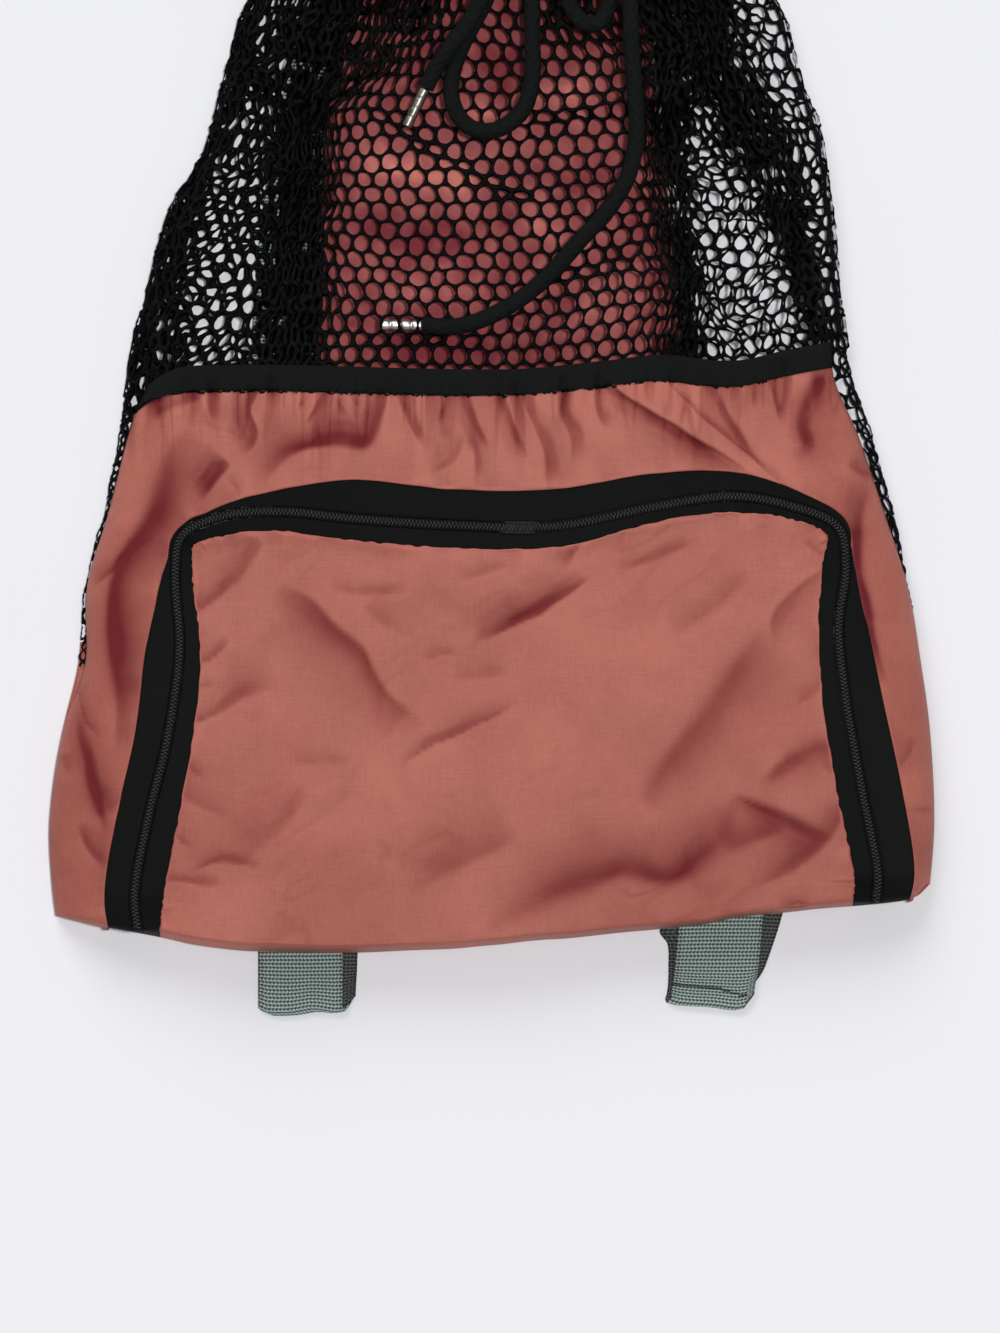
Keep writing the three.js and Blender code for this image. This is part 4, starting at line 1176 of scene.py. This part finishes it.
def to_base(k, x, y):
    """Both ends of a grid along the zip, brought down to the base edge."""
    first, last = (1 - smoothstep(part, 0, 1) for part in (k, STATIONS - k))
    return y - first * (y[:1] - base_edge(x[:1])) - last * (y[-1:] - base_edge(x[-1:]))


def make_panel():
    k = stations()
    u = np.linspace(0, 1, FINE["panel"] + 1)[None]
    outer_x, outer_y = panel_edge(k)
    t = zip_t(k)
    inner_x, inner_y = beside_zip(t, band_edges(t)[0] - 0.2)
    x = lerp(outer_x, inner_x, u)
    y = to_base(k, x, lerp(outer_y, inner_y, u))
    points, shade = coral_grid(x, y, SEAM_LIFT * u**8)
    made = piece("front_panel", cloth_wall(points), CORAL, ["front_panel"], shade)


def make_door():
    u = np.linspace(0, 1, FINE["door_columns"] + 1)[None]
    v = np.linspace(0, 1, FINE["door_rows"] + 1)[:, None] ** CLOSER

    def edge(k):
        t = zip_t(k)
        return np.stack(beside_zip(t, -band_edges(t)[1] - ragged(t, 34)), -1)

    left, right, top = edge(v * LEG), edge(STATIONS - v * LEG), edge(LEG + u * ARCH)
    base_x = lerp(left[0, 0, 0], right[0, 0, 0], u)
    base = np.stack([base_x, base_edge(base_x)], -1)
    u, v = u[..., None], v[..., None]
    across, upward = lerp(left, right, u), lerp(base, top, v)
    flat = lerp(lerp(left[:1], right[:1], u), lerp(left[-1:], right[-1:], u), v)
    plan = across + upward - flat
    points, shade = coral_grid(plan[..., 0], plan[..., 1], SEAM_LIFT)
    made = piece("pocket_door", cloth_wall(points), CORAL, ["pocket_door"], shade)


def zip_band(near, far, columns, lift):
    """A grid along the zip between two distances from the coil's middle, and its weave."""
    k = stations()
    t = zip_t(k)
    across = lerp(near(t), far(t), np.linspace(0, 1, columns + 1)[None])
    x, y = beside_zip(np.broadcast_to(t, across.shape), across)
    points = front_grid(x, to_base(k, x, y), lift)
    weave = np.stack([t * zip_length + 0 * across, across], -1).reshape(-1, 2)
    return points, np.vstack([weave, weave])


def make_bands():
    inner = COIL["width"] / 2 + GAP
    points, weave = zip_band(lambda t: band_edges(t)[0], lambda t: inner + 0 * t, 9, -0.1)
    gusset = piece("zip_gusset", cloth_wall(points), GUSSET_CLOTH, ["zip_gusset"], weave)
    points, weave = zip_band(lambda t: -inner + 0 * t, lambda t: -band_edges(t)[1], 6, -0.1)
    piece("zip_tape", cloth_wall(points), GUSSET_CLOTH, ["zip_tape"], weave)


TOOTH = {"reach": 1.55, "overlap": 0.2, "radius": 0.23, "slant": 0.75, "rise": 0.35}


def make_coil():
    """The closed coil: a narrow band with two rows of slanted teeth that meet along its middle."""
    half = COIL["width"] / 2
    points, _ = zip_band(lambda t: half + 0 * t, lambda t: -half + 0 * t, 4, 0.1)
    band = cloth_wall(points)
    middle = evenly(zip_curve(np.linspace(0, 1, 3000)), COIL["pitch"])[1:-1]
    along = unit(np.gradient(middle, axis=0))
    z = front_height(middle[:, 0], middle[:, 1]) + COIL["proud"]
    step = 0.5
    ahead = front_height(*(middle + step * along).T) - front_height(*(middle - step * along).T)
    forward = unit(np.column_stack([along, ahead / (2 * step)]))
    outward = np.column_stack([-along[:, 1], along[:, 0]])
    tilt = front_height(*(middle + step * outward).T) - front_height(*(middle - step * outward).T)
    beside = unit(np.column_stack([outward, tilt / (2 * step)]))
    upward = unit(np.cross(forward, beside))
    origin = np.column_stack([middle, z])
    place_on = np.linspace(0, 1, 6)
    parts = [(band[0], band[1].tolist())]
    for side in (1, -1):
        spine = np.stack(
            [
                TOOTH["slant"] * place_on + 0.25 * side * COIL["pitch"],
                side * lerp(TOOTH["reach"], -TOOTH["overlap"], place_on),
                TOOTH["rise"] * np.sin(math.pi * np.clip(place_on * 0.8, 0, 1)),
            ],
            -1,
        )
        thick = TOOTH["radius"] * np.array([0.55, 0.95, 1, 1, 0.95, 0.5])
        tooth, faces, _ = tube(spine, np.repeat(thick[:, None], 6, 1), 6)
        for at, *axes in zip(origin, forward, beside, upward):
            parts.append((at + tooth @ np.array(axes), faces))
    made = piece("zip_coil", joined(parts), COIL_NYLON, ["zip_coil"])
    made.data.materials.append(COIL_GROUND)
    for face in made.data.polygons[: len(band[1])]:
        face.material_index = 1


TACK = {"left": 5.3, "right": 20, "half": 2.4, "threads": 11, "lean": 1.1, "lift": 0.85, "radius": 0.2}


def make_tack():
    """The small bar of stitches across the coil."""
    t = np.linspace(0, 1, 4000)
    x = zip_curve(t)[:, 0]
    over = t[(x > TACK["left"]) & (x < TACK["right"])]
    start, end = over[0], over[-1]
    lean = TACK["lean"] / zip_length
    runs = [(start, end, side * TACK["half"], side * TACK["half"]) for side in (1, -1)]
    for at in np.linspace(start, end, TACK["threads"] + 2):
        runs.append((at - lean, at + lean, -TACK["half"], TACK["half"]))
    parts = []
    for first, last, near, far in runs:
        u = np.linspace(0, 1, 16)
        x, y = beside_zip(lerp(first, last, u), lerp(near, far, u))
        path = np.stack([x, y, front_height(x, y) + TACK["lift"]], -1)
        parts.append(tube(path, TACK["radius"], 6)[:2])
    piece("zip_bar_tack", joined(parts), TACK_THREAD)


def make_binding():
    u = np.linspace(0, 1, 421)[None]
    v = np.linspace(0, 1, 15)[:, None]
    x_low = lerp(front_left(BINDING_LOW["y"][0]), front_right(BINDING_LOW["y"][-1]), u)
    y = binding_low(x_low) + GAP + v * BINDING["height"] - 0.6
    x = lerp(front_left(y), front_right(y), u)
    x = lerp(x_low, x, np.minimum(v * 14, 1))
    edge = np.exp(-(((np.minimum(v, 1 - v)) * BINDING["height"]) ** 2) / 1.2)
    points = front_grid(x, y, BINDING["proud"] - 0.35 * edge)
    weave = np.stack([x, v * BINDING["height"] + 0 * x], -1).reshape(-1, 2)
    weave = np.vstack([weave, weave])
    piece("panel_binding", cloth_wall(points), BINDING_TAPE, ["panel_binding"], weave)


make_panel()
make_door()
make_bands()
make_coil()
make_tack()
make_binding()


# Back
def back_grid(x, y, waves, seed):
    z = back_height(x, y) + CLOTH + waves * (1 + noise(x, y, 30, seed)) * 0.5
    return np.stack([x, y, z], -1)


def make_back():
    u = np.linspace(0, 1, 77)[None]
    v = np.linspace(0, 1, 151)[:, None]
    y = lerp(BASE_HEIGHT + GAP, NET_TOP, v) + 0 * u
    x = lerp(strip_left(y), strip_right(y), u)
    middle = np.minimum(1, 3 * np.sin(math.pi * u)) * np.sin(math.pi * v)
    folds = fold_depth(x.ravel(), y.ravel(), STRIP_FOLDS).reshape(x.shape)
    points = back_grid(x, y, 3 * middle, 81)
    points[..., 2] += middle * np.maximum(3 - folds, 0)
    # Painted shade of the strip: darker overall, in its valleys and toward the top under the bunched net,
    # with painted light on its ridges and painted wrinkle shade from noise
    painted_wrinkle_shade = 0.16 * noise(x, y, 11, 83) + 0.24 * noise(x, y, 5, 85) + 0.1 * noise(x, y, 36, 84)
    shade = 0.2 * folds + painted_wrinkle_shade + 0.36
    shade = np.clip(shade + 0.25 * smoothstep(y, 380, 425), -0.6, 0.8).ravel()
    shade = np.concatenate([shade, 0 * shade])
    shade = np.column_stack([shade, 0 * shade])
    strip = piece("back_strip", cloth_wall(points), CORAL_SHADED_COPY, ["back_strip"], shade)
    u = np.linspace(0, 1, 101)[None]
    v = np.linspace(0, 1, 37)[:, None]
    edge = lerp(BASE_EDGE["x"][0], BASE_EDGE["x"][-1], u)
    y = lerp(base_edge(edge), BASE_HEIGHT, v)
    x = lerp(left_fold(y), right_fold(y), u)
    points = back_grid(x, y, 1.0 * np.sin(math.pi * u) * np.sin(math.pi * v), 82)
    plain = np.zeros((2 * x.size, 2))
    base = piece("base_back", cloth_wall(points), CORAL, ["base_back"], plain)


make_back()


# Net
RING_CORNER = np.arange(12) % 2 == 1


def net_cells(columns, rows):
    """Flat net of six-sided cells: its points, and the ring of twelve of them round each cell."""
    pitch, row = NET["pitch"], NET["row"]
    stretch = row / (pitch * math.sqrt(3) / 2)
    i, j = np.meshgrid(np.arange(columns), np.arange(rows))
    centre = np.stack([(i + 0.5 * (j % 2)) * pitch, j * row], -1).reshape(-1, 1, 2)
    turn = np.arange(12) * TURN / 12
    ring = np.stack([np.cos(turn), np.sin(turn) * stretch], -1)
    outer = centre + ring * (pitch / 2 * np.where(RING_CORNER, 2 / math.sqrt(3), 1))[:, None]
    keys = np.round(outer.reshape(-1, 2) * 50).astype(int)
    _, first, shared = np.unique(keys, axis=0, return_index=True, return_inverse=True)
    return outer.reshape(-1, 2)[first], shared.reshape(-1, 12)


def on_sheet(grid, s, w):
    """Points of a grid between its own, at fractions of its width and length."""
    rows, columns = grid.shape[:2]
    s, w = np.clip(s, 0, 1) * (columns - 1.001), np.clip(w, 0, 1) * (rows - 1.001)
    i, j = s.astype(int), w.astype(int)
    a, b = (s - i)[:, None], (w - j)[:, None]
    low = lerp(grid[j, i], grid[j, i + 1], a)
    return lerp(low, lerp(grid[j + 1, i], grid[j + 1, i + 1], a), b)


def heaping(x, y):
    """How far the net's layers heap up and close its cells."""
    most = 0
    for rows in BUNCHES.values():
        middle, spread, close = (column(rows, "y", name)(y) for name in ("middle", "spread", "close"))
        most = np.maximum(most, close * np.exp(-(np.abs((x - middle) / spread) ** 2.8)))
    creases = [(line, 0.7, reach * 0.7, 0, 2) for line, _, reach in NET_CREASES]
    most = np.maximum(most, fold_depth(x, y, creases))
    return np.clip(most * (0.8 + 0.8 * noise(x, y, 6, 161)), 0, 2)


def net_on(grid, width, length, seed, strand, heaped):
    """The net laid on a grid of points that is width by length when flat; its strands keep their width."""
    flat, cells = net_cells(int(width / NET["pitch"]), int(length / NET["row"]))
    low, high = flat.min(0), flat.max(0)
    half = np.array([NET["pitch"] / 2, 0])
    s, w = ((flat - low - half) / (high - low - 2 * half)).T
    normals, down = grid_normals(grid)
    normal = unit(on_sheet(-normals if down else normals, s, w)) * NET["half_height"]
    middle = on_sheet(grid, s, w)
    loose = NET["jitter"] * (1 + NET["loosened"] * heaping(*middle[:, :2].T))
    middle = middle + np.random.default_rng(seed).normal(0, 1, middle.shape) * loose[:, None]
    ring = middle[cells]
    centre = ring.mean(1, keepdims=True)
    out = ring - centre
    thick = strand * (1 + heaped * heaping(*centre[:, 0, :2].T))
    inset = thick[:, None, None] / 2 * np.where(RING_CORNER, NET["round"], 1)[:, None]
    away = np.linalg.norm(out, axis=-1, keepdims=True)
    left_open = np.maximum(away - inset, NET["least_hole"] * away)
    left_open = (3 * left_open + np.roll(left_open, 1, 1) + np.roll(left_open, -1, 1)) / 5
    holes = centre + out / away * np.minimum(left_open, 0.94 * away)
    count = len(flat)
    inner = np.arange(cells.size).reshape(-1, 12) + 2 * count
    after = (np.arange(12) + 1) % 12
    upper = np.stack([cells, cells[:, after], inner[:, after], inner], -1).reshape(-1, 4)
    lower = np.stack([inner, inner[:, after], cells[:, after] + count, cells + count], -1).reshape(-1, 4)
    faces = np.vstack([upper, lower])
    rim = free_edges(faces)
    rim = rim[(rim < count).all(1)]
    rim = np.stack([rim[:, 1], rim[:, 0], rim[:, 0] + count, rim[:, 1] + count], -1)
    points = np.vstack([middle + normal, middle - normal, holes.reshape(-1, 3)])
    points[:, 2] = np.maximum(points[:, 2], 0.1)
    return points, np.vstack([faces, rim])


ANGLES = np.linspace(0, 2.25, 200)
SHORTENING = np.cos(ANGLES[:, None] * np.sin(np.linspace(0, TURN, 181)[:-1])).mean(1)


def pleats(s, folded, crowd, wave, phase):
    """Sideways and upward waves that take in a part of the cloth that is crowded together."""
    angle = np.interp(-1 / folded, -SHORTENING, ANGLES)
    lean = angle * np.sin(TURN * s / wave + phase)
    step = (s[1] - s[0]) * folded / crowd
    sideways = np.cumsum((np.cos(lean) - 1 / folded) * step)
    upward = np.cumsum(np.sin(lean) * step)
    level = np.linspace(0, 1, len(s))
    return sideways - level * sideways[-1], upward - level * upward[-1]


FRONT_NET = {
    "flat": 468, "under_binding": 7, "wave": 24, "pleated": 0.35, "strand": 1.4, "heaped": 1.4, "middle": 2,
}
BACK_NET = {"flat": 126, "wave": 20, "pleated": 0.35, "strand": {"left": 1.75, "right": 1.25}, "heaped": 2.7}
PULL = {
    "left_in": 1.0, "left_mid": 0.3, "left_out": 0.6, "right_in": 1.0, "right_out": 0.55, "right_top": 0.3,
}
SLACK = 1.03


def bunching(x, y):
    """How strongly the net is drawn together at places across the bag."""
    total = 0
    for name, rows in BUNCHES.items():
        middle, spread, close = (column(rows, "y", part)(y) for part in ("middle", "spread", "close"))
        total = total + PULL[name] * np.minimum(close, 1) * np.exp(-(((x - middle) / spread) ** 2))
    return total


def drawn_row(s, left, right, y, net, seed):
    """One row of a net whose flat width s is drawn in between two edges: places and heights."""
    across = np.linspace(left, right, 500)
    bunch = bunching(across, y)
    density = np.full(len(across), SLACK)
    beyond = across > net.get("middle", left - 1)
    parts = [part for part in (beyond, ~beyond) if part.any()]
    for part in parts:
        crowding = s[-1] / len(parts) / ((right - left) * part.mean())
        density[part] += max(crowding - SLACK, 0) * bunch[part] / max(bunch[part].mean(), 1e-6)
    laid = np.concatenate([[0], np.cumsum((density[1:] + density[:-1]) / 2)])
    x = np.interp(s, laid / laid[-1] * s[-1], across)
    crowd = np.interp(x, across, density)
    folded = 1 + (crowd - 1) * net["pleated"]
    phase = 5 * noise(s, y, 70, seed) + 2.5 * noise(s, y, 30, seed + 1)
    sideways, upward = pleats(s, folded, crowd, net["wave"], phase)
    edge = np.sin(math.pi / 2 * np.clip(np.minimum(x - left, right - x) / 14, 0, 1))
    return x + sideways * edge, upward * edge


def tangled(x, y, calm, seed):
    """Places of a net shifted about, more where it isn't calm."""
    wide, small = lerp(3.2, 0.9, calm), lerp(2.4, 1.1, calm)
    shift_x = wide * noise(x, y, 27, seed) + small * noise(x, 1.6 * y, 10, seed + 1)
    shift_y = wide * noise(x, y, 23, seed + 2) + small * noise(lerp(2.2, 1, calm) * x, y, 9, seed + 3)
    return x + shift_x, y + shift_y


def front_net_grid():
    """The front net: smooth in the middle, drawn into bunches at both sides."""
    s = np.linspace(0, FRONT_NET["flat"], 1000)
    rows = []
    for v in np.linspace(0, 1, 120):
        y = lerp(262, NET_TOP, v)
        x, upward = drawn_row(s, left_fold(y), right_fold(y), y, FRONT_NET, 91)
        low = binding_low(x) + BINDING["height"] - FRONT_NET["under_binding"]
        sewn = smoothstep(v, 0, 0.1) * (1 - 0.6 * smoothstep(v, 0.9, 1))
        rows.append(np.stack([x, lerp(low, NET_TOP, v), upward * sewn], -1))
    return laid_net(np.stack(rows))


CORD_CLEAR = 0.9
NET_SAG = 7


def laid_net(grid):
    """The front net's waves set on the bag: its height, drag creases, and the rise over the right tip."""
    x, y, wave = (part.ravel() for part in np.moveaxis(grid, -1, 0))
    calm = 1 - smoothstep(np.abs(x - 2), 62, 84)
    ends = smoothstep(y, 266, 290) * (1 - smoothstep(y, 480, 498))
    moved_x, moved_y = tangled(x, y, calm, 93)
    inside = smoothstep(np.minimum(x - left_fold(y), right_fold(y) - x), 0, 14)
    x, y = lerp(x, moved_x, ends * inside), lerp(y, moved_y, ends)
    rise = np.zeros_like(x)
    for line, height, reach in NET_CREASES:
        near = fold_depth(x, y, [(line, 1, reach, 0, 2)])
        away, _ = beside_line(x, y, curve_through(line)(np.linspace(0, 1, 14)))
        y = y - away * 0.55 * near
        rise += height * near
    seam = back_height(x, y) + 2 * CLOTH + GAP
    sag = NET_SAG * smoothstep(np.abs(x - 2), 86, 108) * smoothstep(y, 268, 300) * crown(x, y)
    z = seam + crown(x, y) * loft(y) - CLOTH / 2 + wave + rise - sag
    top = binding_low(x) + BINDING["height"]
    z = z - 1.7 * (1 - smoothstep(y, top, top + 4))
    for route in ROUTES.values():
        path = curve_through(route)(np.linspace(0, 1, 60))
        near = np.flatnonzero((y < 470) & (np.abs(x - 12) < 70))
        away, along = beside_line(x[near], y[near], path[:, :2])
        under = np.interp(along, np.linspace(0, 1, 60), path[:, 2]) - CORD["diameter"] / 2 - CORD_CLEAR
        z[near] = np.where(np.abs(away) < 9, np.minimum(z[near], under + 0.1 * away**2), z[near])
    tip_end, tip_start = (-51, 284.5), (-32, 283.4)
    away, _ = beside_line(x, y, np.array([tip_end, tip_start]))
    over = np.exp(-((np.maximum(np.abs(away) - 1.2, 0) / 4.5) ** 2)) * (x < -32)
    z = np.maximum(z, lerp(z, 27.2, over))
    floor = back_height(x, y) + 2 * CLOTH
    z = floor + np.maximum(z - floor, 0.3 * (z - floor) + 0.8)
    return np.stack([x, y, z], -1).reshape(grid.shape)


def back_net_grid(left, right, seed):
    """One side of the back net, lying on the floor and the strap."""
    s = np.linspace(0, BACK_NET["flat"], 280)
    rows = []
    for v in np.linspace(0, 1, 140):
        y = lerp(BASE_HEIGHT + GAP, NET_TOP, v)
        x, upward = drawn_row(s, left(y), right(y), y, BACK_NET, seed)
        edge = np.sin(math.pi / 2 * np.clip(np.minimum(x - left(y), right(y) - x) / 12, 0, 1))
        moved_x, moved_y = tangled(x, np.full(len(x), y), 0, seed + 2)
        ends = min(1, 12 * v, 12 * (1 - v))
        z = np.clip(STRAP_LIFT + CLOTH / 2 + 0.45 * upward, 1.2, 6.5)
        rows.append(np.stack([lerp(x, moved_x, edge * ends), lerp(y, moved_y, ends), z], -1))
    return np.stack(rows)


EDGE_CHAIN = {
    "cell": {-1: 10, 1: 15},
    "reach": {-1: 1.1, 1: 1.6},
    "radius": {-1: 0.55, 1: 0.7},
    "drawn": {-1: 0.3, 1: 0.85},
}


def net_edge(fold, side, low, hidden, seed):
    """The outer chain of the net along its side fold: two strands that meet and part."""
    y = np.linspace(low, NET_TOP, 520)
    turn = TURN * y / EDGE_CHAIN["cell"][side] + 2.5 * noise(y, 0, 17, seed)
    reach = EDGE_CHAIN["reach"][side] * (1 + 0.5 * noise(y, 0, 13, seed + 1))
    reach = reach * (1 - EDGE_CHAIN["drawn"][side] * smoothstep(y, 255, 305))
    tucked = 2 + 3.5 * np.exp(-(((y - hidden) / 16) ** 2))
    middle = fold(y) - side * tucked + 0.6 * noise(y, 0, 9, seed + 2)
    radius = np.repeat(EDGE_CHAIN["radius"][side] * (1 + 0.35 * noise(y, 0, 4, seed + 3))[:, None], 8, 1)
    strands = []
    for phase in (0, math.pi):
        swing = np.cos(turn + phase)
        x = middle + reach * np.sign(swing) * np.abs(swing) ** 0.6
        z = 4.4 + 0.7 * np.sin(turn + phase)
        strands.append(tube(np.stack([x, y, z], -1), radius, 8)[:2])
    return joined(strands)


def make_nets():
    length = NET_TOP - 262
    solid_share = 0.5
    width = FRONT_NET["flat"]
    shape = net_on(front_net_grid(), width, length, 95, FRONT_NET["strand"], FRONT_NET["heaped"])
    net = piece("front_net", shape, NET_YARN, ["front_net"])
    flat = (width * MM, length * MM)
    solid_share * flat[0] * flat[1]
    length = NET_TOP - BASE_HEIGHT
    width = BACK_NET["flat"]
    flat = (width * MM, length * MM)
    for side, left, right, seed in (
        ("left", left_fold, lambda y: strip_left(y) - 0.8, 101),
        ("right", lambda y: strip_right(y) + 0.8, right_fold, 111),
    ):
        name = "back_net_" + side
        grid = back_net_grid(left, right, seed)
        shape = net_on(grid, width, length, seed, BACK_NET["strand"][side], BACK_NET["heaped"])
        net = piece(name, shape, NET_YARN, [name])
        "strap_" + side
        solid_share * flat[0] * flat[1]
    piece("net_edge_left", net_edge(left_fold, -1, 129, 165, 141), NET_YARN)
    piece("net_edge_right", net_edge(right_fold, 1, 169, 130, 145), NET_YARN)


make_nets()


# Straps
def strap_path(side):
    """Middle of a strap: along the floor behind the bag, a tight turn, and the layer sewn to the base."""
    run, loop = column(STRAP_RUNS, "y", side), column(STRAP_LOOPS, "y", side)
    floor_z = WEBBING["thickness"] / 2
    layer_z = floor_z + WEBBING["thickness"] + GAP
    radius = (layer_z - floor_z) / 2
    turn_y = -LOOP_LENGTH + radius + WEBBING["thickness"] / 2
    y = np.linspace(STRAP_RUNS["y"][-1], turn_y, 300)
    lower = np.stack([run(y), y, np.full(len(y), floor_z)], -1)
    angle = np.linspace(0, math.pi, 14)[1:-1]
    y = turn_y - radius * np.sin(angle)
    x = lerp(run(y), loop(y), angle / math.pi)
    turn = np.stack([x, y, floor_z + radius * (1 - np.cos(angle))], -1)
    y = np.linspace(turn_y, base_edge(loop(0.0)) + WEBBING["sewn"], 40)
    upper = np.stack([loop(y), y, np.full(len(y), layer_z)], -1)
    return np.vstack([lower, turn, upper])


# Width of the painted shade along the crease across the right loop
CREASE_WIDTH = 0.7
BEHIND = 40

# How far the lower edge of each loop lies above its plain turn, across the webbing, on both of its layers
LOOP_ENDS = {
    "left": table(
        "across front behind",
        (-19, 1.6, 1.6), (-16.5, 0.2, 0.2), (-4, 0.4, 0.4), (5, 1.9, 1.9), (12, 0.9, 1.5),
        (17, 0, 4), (19, 0.4, 7),
    ),
    "right": table(
        "across front behind",
        (-19, 5.6, 5.6), (-15, 4.6, 4.6), (0, 3.9, 3.9), (14.5, 2.4, 2.4), (16.5, 5.5, 5.5), (19, 8, 8),
    ),
}
# How far the layer behind the right loop spreads past its left edge
FLARE = table("y reach", (-26, 0), (-20, 1.5), (-7, 6), (3, 10), (9, 15.5), (30, 13), (60, 0))


def loop_crease(x):
    """The slanted crease across the right loop."""
    return np.interp(x, [82, 103, 118], [-15.4, -17.4, -22])


def loop_shift(side, path, across):
    """Sideways and lengthwise shifts of a strap's points that give its loop the photo's edges."""
    low = WEBBING["thickness"] / 2
    layer = np.clip((path[:, 2] - low) / (WEBBING["thickness"] + GAP), 0, 1)[:, None]
    behind, front = (column(LOOP_ENDS[side], "across", name)(across) for name in ("behind", "front"))
    lengthwise = lerp(behind, front, layer) * (1 - smoothstep(path[:, 1], -29, -6))[:, None]
    spread = column(FLARE, "y", "reach")(path[:, 1])[:, None] if side == "right" else 0
    return -spread * (1 - layer) * smoothstep(-across, 0, WEBBING["width"] / 2), lengthwise


def make_strap(side, seed):
    path = evenly(strap_path(side), WEBBING["rib"] / 4)
    station = np.arange(len(path))
    kept = station[(path[:, 1] < BEHIND) | (station % 2 == 1)]
    path, length = path[kept], kept * (WEBBING["rib"] / 4)
    along = unit(np.gradient(path, axis=0))
    across = np.linspace(-0.5, 0.5, 11) * WEBBING["width"]
    up = unit(np.stack([np.zeros(len(path)), -along[:, 2], along[:, 1]], -1))
    rib = 0.18 * np.sin(TURN * length / WEBBING["rib"])[:, None]
    selvedge = 0.12 * (np.abs(across) > 0.46 * WEBBING["width"])
    half = WEBBING["thickness"] / 2 - 0.2 + rib - selvedge
    sway = 0.5 * noise(length[:, None], across, 26, seed)
    sideways, lengthwise = loop_shift(side, path, across)
    level = np.zeros_like(sway)
    middle = path[:, None] + np.stack([across + sideways + level, sway + lengthwise, level], -1)
    upper = middle + up[:, None] * half[..., None]
    lower = middle - up[:, None] * half[..., None]
    faces = grid_faces(len(path), len(across))
    weave = np.stack(np.broadcast_arrays(length[:, None], across), -1).reshape(-1, 2)
    name = "strap_" + side
    shape = closed_wall(faces, upper, lower)
    made = piece(name, shape, WEBBING_YARN, [name], np.vstack([weave, weave]))
    made.data.materials.append(WEBBING_PAINTED_SHADE)
    facing_up = unit(np.cross(*np.diff(shape[0][shape[1][:, :3]], axis=1).swapaxes(0, 1)))[:, 2] > 0.5
    x, y, z = shape[0][shape[1]].mean(1).T
    # Painted shade: the upward faces of each loop's lower layer, and a line along the right loop's crease,
    # get the darker webbing
    darker = (z < WEBBING["thickness"] + GAP) & (y < base_edge(x))
    if side == "right":
        darker |= np.abs(y - loop_crease(x)) < CREASE_WIDTH
    made.data.polygons.foreach_set("material_index", (facing_up & darker).astype(np.int32))


make_strap("left", 121)
make_strap("right", 122)


# Hem
def make_hem():
    """The gathered channel round the mouth, open at the front where the drawcord comes out."""
    back_z = HEM["thickness"] / 2
    front_z = back_z + HEM["thickness"] + HEM["clear"]
    radius = (front_z - back_z) / 2
    run = HEM["half_span"] - radius
    turn = np.linspace(0, math.pi, 40)
    straight = np.linspace(1, -1, 120)[1:-1]
    flat = np.zeros_like(straight)
    x = np.concatenate([run + 0 * turn, run * straight, -run + 0 * turn, -run * straight])
    out_x = np.concatenate([np.sin(turn), flat, -np.sin(turn), flat])
    out_z = np.concatenate([np.cos(turn), flat - 1, -np.cos(turn), flat + 1])
    count = len(x)
    section = np.linspace(0, TURN, 20, endpoint=False)
    ruffle = 1 + 0.09 * np.sin(np.arange(count) * TURN / 9)[:, None] * (1 + 0.5 * np.cos(section))
    ruffle = ruffle + 0.05 * noise(np.arange(count)[:, None], section * 4, 7, 131)

    def ring(width, thickness):
        away = radius + np.cos(section) * thickness / 2 * ruffle
        y = SACK_LENGTH - HEM["width"] / 2 + np.sin(section) * width / 2 * (0.96 + 0.04 * ruffle)
        px = HEM["centre_x"] + x[:, None] + out_x[:, None] * away
        pz = (front_z + back_z) / 2 + out_z[:, None] * away
        return np.stack([px, y, pz], -1)

    outer = ring(HEM["width"] - 0.8, HEM["thickness"] - 1.9)
    inner = ring(HEM["width"] - 2.4, HEM["thickness"] - 3.5)
    faces = grid_faces(count, len(section), wrap_rows=True, wrap_columns=True)[:, ::-1]
    middle = outer.reshape(-1, 3)[faces].mean(1)
    mouth = (middle[:, 0] > SLOT["left"]) & (middle[:, 0] < SLOT["right"])
    mouth &= (middle[:, 2] > radius + back_z) & (middle[:, 1] < SACK_LENGTH - HEM["width"] / 2)
    shape = closed_wall(faces[~mouth], outer, inner)
    weave = np.stack(np.broadcast_arrays(np.arange(count)[:, None] * 1.2, section * 6), -1).reshape(-1, 2)
    piece("mouth_hem", shape, BINDING_TAPE, ["mouth_hem"], np.vstack([weave, weave]))


make_hem()
